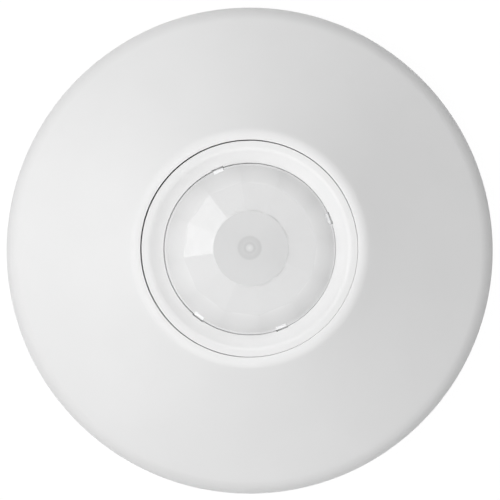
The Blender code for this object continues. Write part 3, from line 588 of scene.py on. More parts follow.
STRIPE = moulded("capacitor_sleeve_stripe", (0.42, 0.45, 0.50), rough=0.34, grain=0.8,
                 depth=0.010, variation=0.04)
RUBBER = moulded("black_rubber_bung", (0.018, 0.018, 0.018), rough=0.75, grain=3.0,
                 depth=0.02, variation=0.08)
FERRITE = moulded("dark_ferrite", (0.060, 0.060, 0.066), rough=0.62, grain=1.6, depth=0.03,
                  variation=0.12, wear=0.4)
VARISTOR = moulded("blue_dipped_coating", (0.022, 0.105, 0.34), rough=0.34, grain=0.9,
                   depth=0.04, variation=0.08)
CERAMIC = moulded("fired_ceramic", (0.70, 0.64, 0.54), rough=0.62, grain=2.5, depth=0.015,
                  variation=0.05)
FILTER = moulded("dark_infrared_filter", (0.030, 0.030, 0.038), rough=0.10, grain=1.0,
                 depth=0.001, variation=0.08, rough_spread=0.03, ior=2.2)
TAN = moulded("tan_chip_ceramic", (0.46, 0.34, 0.22), rough=0.5, grain=3.0, depth=0.01,
              variation=0.08)
RED_EPOXY = clear_epoxy("red_led_epoxy", (0.85, 0.10, 0.06))
MASK = solder_mask("green_solder_mask")


def mask_over_copper(name):
    return moulded(name, (0.028, 0.21, 0.085), rough=0.3, grain=2.0, depth=0.004,
                   variation=0.05)


# ------------------------------------------------------------------ front cover
WALL = 2.0
CONE_DEG = 32.0
RIM_R, RIM_Z = 6.3, 5.5          # the round between the cone and the upright side
CONE_TOP_R = 28.6
CREST_R = 4.15                   # the round between the cone and the opening
OPENING_R = 25.69
COLLAR_R, COLLAR_Z = 27.5, 19.5  # the sleeve that hangs inside the opening
COVER_Z = COVER_LOW.z
COVER_RIB_OUTLINE = [(26.7, 19.3), (37.4, 19.3, 0.5), (37.4, 20.5, 0.8), (29.2, 25.6),
                     (26.7, 25.6)]
COVER_CATCH_OUTLINE = [(55.6, 2.6, 0.1), (55.9, 2.3, 0.1), (56.8, 2.3), (56.8, 3.6),
                       (55.9, 3.6, 0.1), (55.6, 3.2, 0.1)]


def cover_profile():
    """Goes over the crest, down the cone and side, then back up inside."""
    tilt = math.radians(CONE_DEG)
    rim_x = OVERALL_R - RIM_R
    inner = RIM_R - WALL
    cone_low = (rim_x + RIM_R * math.sin(tilt), RIM_Z + RIM_R * math.cos(tilt))
    cone_top = (CONE_TOP_R, cone_low[1] + (cone_low[0] - CONE_TOP_R) * math.tan(tilt))
    crest_x = cone_top[0] - CREST_R * math.sin(tilt)
    inner_low = (rim_x + inner * math.sin(tilt), RIM_Z + inner * math.cos(tilt))
    inner_top = inner_low[1] + (inner_low[0] - COLLAR_R) * math.tan(tilt)
    outline = arc(OPENING_R + 0.14, CREST_Z - 0.14, 0.14, 180, 90, 5)
    outline += arc(crest_x, CREST_Z - CREST_R, CREST_R, 90, 90 - CONE_DEG, 14)
    steps = 10
    outline += [(cone_top[0] + (cone_low[0] - cone_top[0]) * k / steps,
                 cone_top[1] + (cone_low[1] - cone_top[1]) * k / steps)
                for k in range(1, steps)]
    outline += arc(rim_x, RIM_Z, RIM_R, 90 - CONE_DEG, 0, 20)
    outline += [(OVERALL_R, 3.2), (OVERALL_R, COVER_Z + 0.45)]
    outline += arc(OVERALL_R - 0.4, COVER_Z + 0.4, 0.4, 0, -90, 4)[1:]
    outline += arc(OVERALL_R - WALL + 0.3, COVER_Z + 0.3, 0.3, -90, -180, 4)
    outline += arc(rim_x, RIM_Z, inner, 0, 90 - CONE_DEG, 12)
    outline += [(COLLAR_R + 1.2, inner_top - 0.75), (COLLAR_R + 0.25, inner_top - 0.5),
                (COLLAR_R, inner_top - 1.0)]
    outline += arc(COLLAR_R - 0.3, COLLAR_Z + 0.3, 0.3, 0, -90, 4)
    outline += arc(OPENING_R + 0.3, COLLAR_Z + 0.3, 0.3, -90, -180, 4)
    return outline


def cover_ribs(mesh):
    for k in range(8):
        radial(mesh, fillet(COVER_RIB_OUTLINE), 0.6, 22.5 + 45 * k)
    for degrees in SNAP_DEG:
        radial(mesh, fillet(COVER_CATCH_OUTLINE, 3), 4.0, degrees)


# The cover hangs on its snap fingers with a little play, so its opening sits off centre round
# the turret. The shift fades out over a band of radii.
COVER_PLAY, COVER_PLAY_DEG = 0.135, 146.0
PLAY_END_R, PLAY_FADE = 44.0, 16.0


def cover_play(x, y, z, radius, turn, index):
    share = max(0.0, min(1.0, (PLAY_END_R - radius) / PLAY_FADE))
    share = share * share * (3 - 2 * share)
    shift_x, shift_y = polar(COVER_PLAY * share, COVER_PLAY_DEG)
    return x + shift_x, y + shift_y, z


piece("cover_shell", lambda mesh: lathe(mesh, cover_profile(), 288, shape=cover_play),
      WHITE_COVER, "front_cover", "cover", steps=[join(cover_ribs)])


# ------------------------------------------------------------------ sensor housing
# A rounded body, a round turret on it, and a sloping ring round the lens pocket.
TURRET_R, TURRET_INNER_R, TURRET_LOW = 25.54, 23.6, 11.0
RING_FLAT_R, RING_SLOPE_R, RING_EDGE_R = 24.3, 23.0, 20.5
RING_SLOPE_DEG = 31.0
LENS_POCKET_R, LENS_SEAT_Z = 20.3, 24.3
APERTURE_R = 18.7
RING_UNDER_Z = 22.5
BODY_X, BODY_Y, BODY_CORNER = HOUSING_HIGH.x, HOUSING_HIGH.y, 14.0
BODY_TOP, BODY_LOW, BODY_WALL, BODY_EDGE = 16.0, HOUSING_LOW.z, 1.6, 0.8

RING_TILT = math.radians(RING_SLOPE_DEG)
RING_ROUND_R = (RING_FLAT_R - RING_SLOPE_R) / math.sin(RING_TILT)
RING_SLOPE_Z = CREST_Z - RING_ROUND_R * (1 - math.cos(RING_TILT))
RING_EDGE_Z = RING_SLOPE_Z - (RING_SLOPE_R - RING_EDGE_R) * math.tan(RING_TILT)


def turret(mesh):
    outline = [(0, TURRET_LOW), (TURRET_R, TURRET_LOW)]
    outline += arc(TURRET_R - 0.14, CREST_Z - 0.14, 0.14, 0, 90, 6)
    outline += arc(RING_FLAT_R, CREST_Z - RING_ROUND_R, RING_ROUND_R, 90,
                   90 + RING_SLOPE_DEG, 12)
    outline += [(RING_SLOPE_R - (RING_SLOPE_R - RING_EDGE_R) * share,
                 RING_SLOPE_Z - (RING_SLOPE_Z - RING_EDGE_Z) * share)
                for share in (0.33, 0.66)]
    outline += fillet([(RING_SLOPE_R, RING_SLOPE_Z),
                       (RING_EDGE_R - 0.13, RING_EDGE_Z - 0.06, 0.18),
                       (LENS_POCKET_R, RING_EDGE_Z - 0.9)])[1:]
    outline += [(LENS_POCKET_R, LENS_SEAT_Z), (0, LENS_SEAT_Z)]
    lathe(mesh, outline, 256)


def housing_body(mesh):
    levels = [(0.0, BODY_LOW), (0.0, BODY_LOW + 0.01), (0.0, BODY_TOP - BODY_EDGE)]
    for degrees in (15, 30, 45, 60, 75, 90):
        x, y = polar(BODY_EDGE, degrees)
        levels.append((BODY_EDGE - x, BODY_TOP - BODY_EDGE + y))
    loft(mesh, [(rounded_rectangle(BODY_X - inset, BODY_Y - inset, BODY_CORNER - inset, 14), z)
                for inset, z in levels])


def body_cavity(mesh):
    prism(mesh, rounded_rectangle(BODY_X - BODY_WALL, BODY_Y - BODY_WALL,
                                  BODY_CORNER - BODY_WALL, 14), 1.0, BODY_TOP - BODY_WALL)


def turret_cavity(mesh):
    lathe(mesh, [(0, 13.2), (TURRET_INNER_R, 13.2), (TURRET_INNER_R, RING_UNDER_Z),
                 (APERTURE_R, RING_UNDER_Z), (APERTURE_R, LENS_SEAT_Z + 1),
                 (0, LENS_SEAT_Z + 1)], 192)


def housing_posts(mesh):
    for place in CASE_SCREWS:
        cylinder(mesh, 3.3, 4.95, BODY_TOP - 0.9, place, 40)
    for place in SENSE_SCREWS:
        cylinder(mesh, 3.2, 16.6, RING_UNDER_Z + 0.8, place, 40)


def housing_holes(mesh):
    """Screw holes, lens tab notches, button holes and an opening in the +X wall."""
    for place in CASE_SCREWS:
        cylinder(mesh, 1.5, 4.0, 12.5, place, 24)
    for place in SENSE_SCREWS:
        cylinder(mesh, 1.0, 15.8, 21.2, place, 20)
    notch = [(20.0, LENS_SEAT_Z + 0.02), (20.95, LENS_SEAT_Z + 0.02),
             (20.95, RING_EDGE_Z - 0.50), (20.56, RING_EDGE_Z - 0.10), (20.56, 28.5),
             (20.0, 28.5)]
    for degrees in TAB_DEG:
        radial(mesh, notch, 1.45, degrees)
    cylinder(mesh, 2.5, BODY_TOP - 3, BODY_TOP + 1, (SWITCH_XY[0], 0))
    for place in TERMINAL_XY:
        prism(mesh, rounded_rectangle(1.6, 1.6, 0.3, 4, place), BODY_TOP - 3, BODY_TOP + 1)
    box(mesh, (BODY_X - 3, -7.2, 4.8), (BODY_X + 2, 7.2, 9.6))


piece("housing_shell", housing_body, WHITE_HOUSING, "sensor_housing",
      steps=[join(turret), cut(body_cavity), cut(turret_cavity), join(housing_posts),
             cut(housing_holes)])


# ------------------------------------------------------------------ lens
# From the axis outwards: a round disc, a tier of flat facets, a skirt, and a flange.
LENS_WALL = 0.9
DISC_R, DISC_Z = 8.87, 38.3
FACET_R, FACET_Z = 15.93, 32.5
SKIRT_R, SKIRT_Z = 18.5, 29.4
FOOT_R, FOOT_Z = 19.8, 25.95
FLANGE_R, FLANGE_LOW, FLANGE_TOP = 20.18, LENS_LOW.z, 25.7
FACETS, FACET_START = 12, 7.5
FACET_STEP = 2 * math.pi / FACETS
GROOVE_PITCH, GROOVE_DEPTH = 0.62, 0.085
LENS_SEGMENTS = 240
# Rings in the middle of the disc: (radius, width, height)
DISC_RINGS = ((1.33, 0.40, -0.060), (2.75, 0.45, -0.055))
RIPPLE_FROM = 3.3
# Fine scallops near the disc's edge
SCALLOP_FROM, SCALLOP_DEPTH, SCALLOPS = 7.7, 0.018, 72
LENS_TAB_OUTLINE = [(19.4, 24.45), (20.6, 24.45, 0.08), (20.6, 24.9, 0.12),
                    (20.2, 24.95, 0.05), (20.2, 26.1, 0.16), (19.86, 26.35, 0.1),
                    (19.4, 26.55)]
# The lens sits in its pocket with a little play, and leans a trace the same way.
LENS_PLAY, LENS_LEANING, LENS_PLAY_DEG = 0.088, 0.015, -22.0


def with_lens_play(x, y, z):
    shift = LENS_PLAY + LENS_LEANING * max(0.0, z - FOOT_Z)
    shift_x, shift_y = polar(shift, LENS_PLAY_DEG)
    return x + shift_x, y + shift_y, z


def facet_angle(turn):
    """The angle from the middle of the facet that lies in this direction."""
    return (turn - math.radians(FACET_START)) % FACET_STEP - FACET_STEP / 2


def polygon_pull(turn, share):
    """How far a round ring is pulled in to follow the twelve-sided outline, for a share from
    0 to 1."""
    return 1 - share * (1 - math.cos(FACET_STEP / 2) / math.cos(facet_angle(turn)))


def disc_z(radius):
    return TOP_Z - (TOP_Z - DISC_Z) * (radius / DISC_R) ** 2


def bow(start, middle, end, share):
    """A point on a gentle curve from start to end that is drawn towards middle."""
    return tuple((1 - share) ** 2 * a + 2 * share * (1 - share) * b + share * share * c
                 for a, b, c in zip(start, middle, end))


def lens_outside():
    rows = []
    for k in range(75):
        radius = DISC_R * k / 75
        ring = sum(height * math.exp(-((radius - at) / width) ** 2 * 2.2)
                   for at, width, height in DISC_RINGS)
        if radius > RIPPLE_FROM:
            phase = 2 * math.pi * (radius - RIPPLE_FROM) / GROOVE_PITCH
            ring += -0.010 * (0.5 - 0.5 * math.cos(phase))
        rows.append((radius, disc_z(radius) + ring, 0.0, "disc"))
    rows += [(DISC_R - 0.06, DISC_Z, 0.0, "disc"), (DISC_R - 0.015, DISC_Z - 0.03, 0.0, "edge")]
    for k in range(29):
        share = k / 28
        rows.append((DISC_R + (FACET_R - DISC_R) * share,
                     DISC_Z - 0.07 + (FACET_Z - DISC_Z + 0.07) * share, share, "facet"))
    for k in range(1, 17):
        share = k / 16
        point = bow((FACET_R, FACET_Z), (SKIRT_R - 0.22, SKIRT_Z - 0.05), (FOOT_R, FOOT_Z),
                    share)
        rows.append((*point, 1.0 - share, "skirt"))
    rows += [(*point, 0.0, "flange")
             for point in arc(FLANGE_R - 0.12, FLANGE_TOP + 0.05, 0.12, 60, 0, 3)]
    return rows + [(FLANGE_R, FLANGE_LOW + 0.12, 0.0, "flange"),
                   (FLANGE_R - 0.12, FLANGE_LOW, 0.0, "flange")]


def lens_inside():
    foot_r, tier_r, disc_r = FOOT_R - LENS_WALL, FACET_R - 0.75, DISC_R - 0.4
    tier_z = FACET_Z - 0.62
    rows = [(foot_r + 0.2, FLANGE_LOW, 0.0, "under"), (foot_r, FLANGE_LOW + 0.15, 0.0, "under"),
            (foot_r, FOOT_Z - 0.2, 0.2, "groove")]
    for k in range(1, 25):
        share = k / 24
        point = bow((foot_r, FOOT_Z - 0.2), (SKIRT_R - 0.75, SKIRT_Z - 0.1), (tier_r, tier_z),
                    share)
        rows.append((*point, 0.2 + 0.8 * share, "groove"))
    for k in range(1, 53):
        share = k / 52
        rows.append((tier_r + (disc_r - tier_r) * share,
                     tier_z + (DISC_Z - 0.87 - tier_z) * share, 1.0 - share, "groove"))
    for k in range(1, 54):
        radius = disc_r * (1 - k / 54)
        rows.append((radius, disc_z(radius) - LENS_WALL, 0.0, "groove"))
    return rows + [(0.0, TOP_Z - LENS_WALL, 0.0, "under")]


# Each row: radius, height, share of the twelve-sided outline, kind
LENS_ROWS = lens_outside() + lens_inside()


def facet_point(turn, share):
    """A flat plane from a low step under the round disc to the twelve-sided tier edge."""
    far = FACET_R * polygon_pull(turn, 1.0)
    radius = DISC_R + (far - DISC_R) * share
    near_middle = DISC_R * math.cos(FACET_STEP / 2)
    far_middle = FACET_R * math.cos(FACET_STEP / 2)
    outward = radius * math.cos(facet_angle(turn)) - near_middle
    z = DISC_Z - 0.05 - outward * (DISC_Z - 0.05 - FACET_Z) / (far_middle - near_middle)
    return radius * math.cos(turn), radius * math.sin(turn), z


def groove_height(radius, turn, pull):
    """Saw teeth about the axis under the disc, and about each facet's middle elsewhere."""
    distance = radius
    if radius >= DISC_R - 0.4:
        middle = 12.2 if radius < FACET_R - 0.6 else 17.0
        angle = facet_angle(turn)
        distance = math.hypot(radius * pull * math.cos(angle) - middle,
                              radius * pull * math.sin(angle) * 1.15)
    return GROOVE_DEPTH * ((distance / GROOVE_PITCH) % 1.0)


def lens_point(x, y, z, radius, turn, index):
    share, kind = LENS_ROWS[index][2:]
    if kind == "facet":
        return with_lens_play(*facet_point(turn, share))
    pull = polygon_pull(turn, share)
    if kind == "disc" and SCALLOP_FROM < radius < DISC_R:
        fade = math.sin(math.pi * (radius - SCALLOP_FROM) / (DISC_R - SCALLOP_FROM))
        z -= SCALLOP_DEPTH * (0.5 + 0.5 * math.cos(SCALLOPS * turn)) * fade
    if kind == "groove" and radius > 1.0:
        z += groove_height(radius, turn, pull)
    return with_lens_play(x * pull, y * pull, z)


def lens_body(mesh):
    lathe(mesh, [row[:2] for row in LENS_ROWS], LENS_SEGMENTS, shape=lens_point)


def lens_tabs(mesh):
    for degrees in TAB_DEG:
        radial(mesh, fillet(LENS_TAB_OUTLINE, 3), 1.25, degrees)


def paint_lens(lens):
    """Gives the skirt its own tones and more painted glow, and the thicker tabs a whiter
    plastic that is also a painted highlight.
    """
    lens.data.materials.append(moulded("white_lens_tab_and_painted_highlight", (0.90, 0.905, 0.91), rough=0.30,
                                       grain=3.0, depth=0.004))
    lens.data.materials.append(LENS_SKIRT)
    for face in lens.data.polygons:
        centre = face.center / MM
        # the skirt: darker tones with more painted glow
        if FOOT_Z < centre.z < FACET_Z - 0.02:
            face.material_index = 2
        radius = math.hypot(centre.x, centre.y)
        degrees = math.degrees(math.atan2(centre.y, centre.x))
        off_tab = min(abs((degrees - tab + 180) % 360 - 180) for tab in TAB_DEG)
        # the tabs' whiter tone: their thicker plastic, and in part a painted highlight
        if radius > 19.45 and centre.z > 25.35 and off_tab < 3.7:
            if abs(face.normal.z) > 0.2 or radius > 19.95:
                face.material_index = 1


paint_lens(piece("lens_dome", lens_body, LENS, "fresnel_lens", "lens",
                 steps=[join(lens_tabs)], smooth=12))


# ------------------------------------------------------------------ base plate
PLATE_R, PLATE_T = 55.2, 1.8
RIM_WALL_INNER_R, RIM_WALL_TOP = 53.6, 3.0
SLOT_NEAR_Y, SLOT_FAR_Y, SLOT_HALF, KEYHOLE_R = 34.9, 44.5, 2.3, 4.6
CABLE_X, CABLE_R = 46.5, 6.3
PLATE_OUTLINE = [(0, 0), (PLATE_R, 0, 0.4), (PLATE_R, RIM_WALL_TOP, 0.3),
                 (RIM_WALL_INNER_R, RIM_WALL_TOP, 0.3), (RIM_WALL_INNER_R, PLATE_T, 0.25),
                 (0, PLATE_T)]
SNAP_OUTLINE = [(53.7, 1.2), (54.9, 1.2), (54.9, 4.2), (55.3, 4.5, 0.12), (55.3, 4.9, 0.15),
                (54.9, 5.6, 0.15), (53.7, 5.6, 0.2)]


def keyhole(side):
    """A round hole with a slot that runs outwards, on the +Y or -Y side."""
    half_reach = math.sqrt(KEYHOLE_R ** 2 - SLOT_HALF ** 2)
    start = math.degrees(math.atan2(half_reach, SLOT_HALF))
    points = arc(0, SLOT_NEAR_Y, KEYHOLE_R, 180 - start, 360 + start, 40)
    points += arc(0, SLOT_FAR_Y, SLOT_HALF, 0, 180, 20)
    return [(x, y * side) for x, y in points]


def base_posts(mesh):
    for degrees in SNAP_DEG:
        radial(mesh, fillet(SNAP_OUTLINE, 3), 3.5, degrees)
    # each: places, radius, top, edge radius, segments
    for places, radius, top, edge, segments in ((CASE_SCREWS, 4.2, 4.6, 0.25, 56),
                                                (MAIN_SCREWS, 2.6, 2.35, 0.15, 48)):
        for place in places:
            lathe(mesh, fillet([(0, 1.0), (radius, 1.0), (radius, top, edge), (0, top)]),
                  segments, centre=place)


def base_holes(mesh):
    for side in (1, -1):
        prism(mesh, keyhole(side), -1, 3)
    cylinder(mesh, CABLE_R, -1, 3, (CABLE_X, 0), 72)
    for place in CASE_SCREWS:
        lathe(mesh, [(0, -1), (3.2, -1), (3.2, 2.5), (1.6, 2.5), (1.6, 6), (0, 6)], 48,
              centre=place)
    for place in MAIN_SCREWS:
        cylinder(mesh, 1.0, 0.5, 3, place, 24)


def rim_gaps(mesh):
    """Gaps in the rim wall round the snap fingers."""
    for degrees in SNAP_DEG:
        radial(mesh, [(52.6, PLATE_T), (56.4, PLATE_T), (56.4, 4.2), (52.6, 4.2)], 6.2,
               degrees)


piece("base_tray", lambda mesh: lathe(mesh, fillet(PLATE_OUTLINE), 240), WHITE_BASE,
      "base_plate", steps=[cut(rim_gaps), join(base_posts), cut(base_holes)])


# ------------------------------------------------------------------ screws
# Each: piece stem, CAD stem, count, head radius, head height, thread radius, pitch, points up
SCREWS = [
    ("case_screw", "housing_screw", 4, 2.85, 1.8, 1.3, 1.1, True),
    ("board_screw", "main_board_screw", 2, 2.0, 1.4, 0.8, 0.8, False),
    ("turret_screw", "sensor_board_screw", 3, 1.9, 1.3, 0.8, 0.8, True),
]


def screw(name, node, head_r, head_h, thread_r, pitch, points_up):
    """A pan head with a cross recess, a rolled thread and a point."""
    low, high = mm_box(node)
    length = high.z - low.z
    core = thread_r - 0.17 * pitch - 0.08
    rows = fillet([(0.0, 0.0), (head_r * 0.62, 0.0, 0.35), (head_r, head_h * 0.55, 0.5),
                   (head_r, head_h - 0.02, 0.06), (core, head_h)], 6)
    first_thread = len(rows)
    z = head_h + 0.12
    while z < length - thread_r:
        rows.append((core, z))
        z += pitch / 9
    tip_from = z
    while z < length - 0.12:
        rows.append((core * (1 - (z - tip_from) / (length - tip_from)) + 0.02, z))
        z += pitch / 9
    rows.append((0.0, length))

    place = (*centre_xy(node), low.z if points_up else high.z)
    placing = Matrix.Translation(place)
    if not points_up:
        placing = placing @ Matrix.Rotation(math.pi, 4, "X")

    def thread(x, y, z, radius, turn, index):
        if first_thread <= index < len(rows) - 1:
            phase = (z / pitch - turn / (2 * math.pi)) % 1.0
            ridge = max(0.0, 1 - abs(2 * phase - 1) * 1.35)
            ramp = min(1.0, (z - head_h) / 0.7) * min(1.0, (length - z) / 1.0)
            near_tip = min(1.0, radius / core + 0.25)
            grown = radius + (thread_r - core) * ridge * ramp * near_tip
            x, y = x * grown / radius, y * grown / radius
        return x, y, z

    def body(mesh):
        lathe(mesh, rows, 40, shape=thread)
        bmesh.ops.transform(mesh, matrix=placing, verts=mesh.verts)

    def cross(mesh):
        half, arm = head_r * 0.17, head_r * 0.66
        outline = [(-half, -arm), (half, -arm), (half, -half), (arm, -half), (arm, half),
                   (half, half), (half, arm), (-half, arm), (-half, half), (-arm, half),
                   (-arm, -half), (-half, -half)]
        loft(mesh, [([(x * 1.06, y * 1.06) for x, y in outline], -0.6), (outline, 0.0),
                    ([(x * 0.62, y * 0.42) for x, y in outline], head_h * 0.62)])
        bmesh.ops.transform(mesh, matrix=placing, verts=mesh.verts)

    piece(name, body, ZINC, node, steps=[cut(cross)], smooth=40)


for stem, node_stem, count, *sizes in SCREWS:
    for number in range(1, count + 1):
        screw(f"{stem}_{number}", f"{node_stem}_{number}", *sizes)


# ------------------------------------------------------------------ boards
def board(name, node, outline, holes):
    """holes lists (places, radius, segments)."""
    low, high = mm_box(node)

    def drill(mesh):
        for places, radius, segments in holes:
            for place in places:
                cylinder(mesh, radius, low.z - 1, high.z + 1, place, segments)

    piece(name, lambda mesh: prism(mesh, outline, low.z, high.z), MASK, node,
          steps=[cut(drill)], bevel=(0.05, 38))


SENSE_R = mm_box("sensor_board")[1].x
board("board_main", "main_board", rounded_rectangle(35.9, 24.9, 11.8, 16),
      [(CASE_SCREWS, 4.7, 56), (MAIN_SCREWS, 1.2, 24)])
board("board_sensor", "sensor_board", [polar(SENSE_R, 2.5 * k) for k in range(144)],
      [(SENSE_SCREWS, 1.1, 24), (LEAD_XY, 0.5, 16), (HEADER_XY, 0.6, 16)])

SENSE_COPPER_Z, MAIN_COPPER_Z = SENSE_TOP + 0.005, MAIN_TOP + 0.005
TRACK_THICK, PAD_THICK = 0.03, 0.04
# Tracks as (width, points)
SENSOR_TRACKS = [
    (0.35, [(2.35, 1.8), (5.6, 4.2), (7.4, 4.2)]),
    (0.35, [(-2.35, 1.8), (-5.4, 4.6), (-8.0, 6.4), (-12.0, 6.4)]),
    (0.35, [(0.0, -3.1), (0.0, -7.4), (-1.0, -8.2)]),
    (0.35, [(8.6, -1.0), (8.6, -6.0), (4.0, -10.0), (1.4, -10.0)]),
    (0.35, [(15.6, 5.0), (18.0, 5.0), (18.6, 1.0), (16.4, -6.4)]),
]
MAIN_TRACKS = [
    (0.8, [(-14.5, 13.2), (-10.0, 15.5), (-9.5, 16.5)]),
    (0.8, [(-19.0, 0.6), (-15.0, 2.5), (-15.0, 4.0)]),
    (0.9, [(14.0, -2.5), (8.0, -6.5), (6.0, -8.8)]),
    (0.35, [(-27.0, 0.0), (-24.0, 2.0), (-24.0, 6.0)]),
]
# Surface-mounted chips as (x, y, turn in degrees)
SENSOR_CHIPS = [
    (-9.5, 9.5, 20), (-12.5, 3.0, 90), (-12.5, -2.0, 90), (-9.0, -6.5, 45), (6.5, -7.5, -40),
    (12.0, -3.5, 0), (12.0, -6.0, 0), (7.5, 11.5, 0), (11.0, 11.0, -35), (-6.0, 12.5, 0),
    (-15.5, -8.0, 60), (5.5, -14.0, 0), (-6.5, -15.5, 0),
]
MAIN_CHIPS = [
    (-8.5, 16.5, 0), (-5.5, 19.5, 90), (6.5, 18.5, 0), (10.5, 16.5, 90), (-14.5, -20.8, 0),
    (-24.5, -11.0, 90), (-27.0, -8.5, 0), (2.5, 6.0, 0), (6.5, 3.0, 90), (10.5, -2.5, 90),
    (13.5, 4.0, 0), (-6.5, 3.0, 45), (-10.5, -1.5, 0), (24.5, -2.5, 90), (14.5, 17.5, 0),
    (-3.0, -4.5, 90),
]


def track(mesh, points, width, z):
    """A flat copper track along a line of points, with a rounded end at each point."""
    for step, (start, end) in enumerate(zip(points, points[1:])):
        if math.dist(start, end) < 1e-6:
            continue
        heading = math.degrees(math.atan2(end[1] - start[1], end[0] - start[0]))
        outline = arc(*start, width / 2, heading + 90, heading + 270, 6)
        outline += arc(*end, width / 2, heading - 90, heading + 90, 6)
        # every other stretch is a hair higher, so overlapping ends don't share a face
        odd = step % 2
        prism(mesh, outline, z + 0.002 * odd, z + TRACK_THICK + 0.004 * odd)


def sensor_tracks(mesh):
    for x, y in HEADER_XY:
        track(mesh, [(x, y - 0.9), (x, 10.4), (x * 1.5, 9.4),
                     (x * 1.5, 6.6 if abs(x) > 2 else 8.2)], 0.35, SENSE_COPPER_Z)
    for width, points in SENSOR_TRACKS:
        track(mesh, points, width, SENSE_COPPER_Z)


def sensor_pads(mesh):
    low, high = SENSE_COPPER_Z, SENSE_COPPER_Z + PAD_THICK
    for places, inner, outer in ((HEADER_XY, 0.62, 0.95), (LEAD_XY, 0.52, 0.85),
                                 (SENSE_SCREWS, 1.15, 1.75)):
        for place in places:
            lathe(mesh, [(inner, low), (outer, low), (outer, high), (inner, high)], 32,
                  centre=place)


def main_tracks(mesh):
    for k, (_, y) in enumerate(TERMINAL_XY):
        bent_y = y * 0.8 - (2.5 if k < 2 else -1.5)
        track(mesh, [(26.0, y), (23.0, y * 0.8), (22.0, bent_y)], 1.1, MAIN_COPPER_Z)
    for width, points in MAIN_TRACKS:
        track(mesh, points, width, MAIN_COPPER_Z)
    for x, _ in HEADER_XY:
        track(mesh, [(x, 12.4), (x, 9.0), (x * 1.4, 7.0)], 0.35, MAIN_COPPER_Z)


CHIP_HALF_LENGTH, CHIP_HALF_WIDTH, CHIP_HEIGHT, CHIP_END = 0.8, 0.4, 0.5, 0.32
CHIP_WAIST = CHIP_HALF_LENGTH - CHIP_END
CHIP_BODY = [((-CHIP_WAIST, -CHIP_HALF_WIDTH * 0.97, 0.02),
              (CHIP_WAIST, CHIP_HALF_WIDTH * 0.97, CHIP_HEIGHT * 0.97))]
CHIP_CAPS = [((x0, -CHIP_HALF_WIDTH, 0.0), (x1, CHIP_HALF_WIDTH, CHIP_HEIGHT))
             for x0, x1 in ((-CHIP_HALF_LENGTH, -CHIP_WAIST), (CHIP_WAIST, CHIP_HALF_LENGTH))]


def chip_parts(mesh, chips, z, boxes, rounding):
    for x, y, turn in chips:
        placing = Matrix.Translation((x, y, z)) @ Matrix.Rotation(math.radians(turn), 4, "Z")
        for low, high in boxes:
            part = round_box(mesh, low, high, rounding, rounding)
            bmesh.ops.transform(mesh, matrix=placing, verts=part)


loose("sensor_board_tracks", sensor_tracks, mask_over_copper("mask_over_copper"))
loose("sensor_board_pads", sensor_pads, SOLDER)
for label, chips, top in (("sensor", SENSOR_CHIPS, SENSE_TOP), ("main", MAIN_CHIPS, MAIN_TOP)):
    loose(f"{label}_board_chips",
          lambda mesh: chip_parts(mesh, chips, top + 0.02, CHIP_BODY, 0.03), TAN)
    loose(f"{label}_board_chip_ends",
          lambda mesh: chip_parts(mesh, chips, top + 0.02, CHIP_CAPS, 0.04), SOLDER)
loose("main_board_tracks", main_tracks, mask_over_copper("mask_over_copper_main"))


# ------------------------------------------------------------------ board-to-board connector
def header_wells(mesh, z0, z1):
    for x, y in HEADER_XY:
        box(mesh, (x - 0.45, y - 0.45, z0), (x + 0.45, y + 0.45, z1))


def square_pin(mesh, node):
    """A square pin that narrows at both ends."""
    low, high = mm_box(node)
    half = (high.x - low.x) / 2
    # each: share of the full width, height
    stations = [(0.5, low.z), (0.85, low.z + 0.22), (1.0, low.z + 0.4), (1.0, high.z - 0.4),
                (0.85, high.z - 0.22), (0.5, high.z)]
    loft(mesh, [(rounded_rectangle(half * share, half * share, 0.04, 3, centre_xy(node)), z)
                for share, z in stations])


# each: piece, CAD piece, bottom and top of its wells
for name, node, well_low, well_top in (("connector_socket", "socket_strip", 5.4, 13.5),
                                       ("connector_header", "pin_strip", 12.0, 15.5)):
    piece(name, boxed(node, 0.25, 0.12), BLACK, node, smooth=30,
          steps=[cut(lambda mesh: header_wells(mesh, well_low, well_top))])
for number in range(1, 5):
    node = f"header_pin_{number}"
    piece(f"connector_pin_{number}", lambda mesh: square_pin(mesh, node), GOLD,
          node)


# ------------------------------------------------------------------ infrared sensor
CAN_LOW, CAN_HIGH = mm_box("pyro_can")
CAN_R = 4.15
STEM_LOW, STEM_HIGH = mm_box("pyro_header")
ELEMENT_TOP = mm_box("pyro_element")[1].z
RING_LOW, RING_HIGH = mm_box("pyro_collar")


def sensor_can(mesh):
    """A thin can with a flange at its foot."""
    foot, top = CAN_LOW.z, CAN_HIGH.z
    lathe(mesh, fillet([
        (CAN_HIGH.x, foot), (CAN_HIGH.x, foot + 0.25, 0.08), (CAN_R, foot + 0.3, 0.12),
        (CAN_R, top, 0.4), (0, top), (0, top - 0.25), (3.9, top - 0.25, 0.2), (3.9, foot)], 6))


def can_opening(mesh):
    prism(mesh, rounded_rectangle(2.3, 1.8, 0.35, 6), CAN_HIGH.z - 0.8, CAN_HIGH.z + 0.8)


def sensor_header(mesh):
    radius = STEM_HIGH.x
    lathe(mesh, fillet([(0, STEM_LOW.z), (radius, STEM_LOW.z, 0.1),
                        (radius, STEM_HIGH.z, 0.1), (0, STEM_HIGH.z)], 4))


def electrodes(mesh):
    for side in (-1, 1):
        round_box(mesh, (side * 0.95 - 0.55, -0.9, ELEMENT_TOP + 0.005),
                  (side * 0.95 + 0.55, 0.9, ELEMENT_TOP + 0.035), 0.05, 0.01)


def sensor_lead(mesh, node):
    low, high = mm_box(node)
    radius = (high.x - low.x) / 2
    lathe(mesh, fillet([(0, low.z), (radius, low.z, radius * 0.7),
                        (radius, high.z, radius * 0.3), (0, high.z)]), 32,
          centre=centre_xy(node))


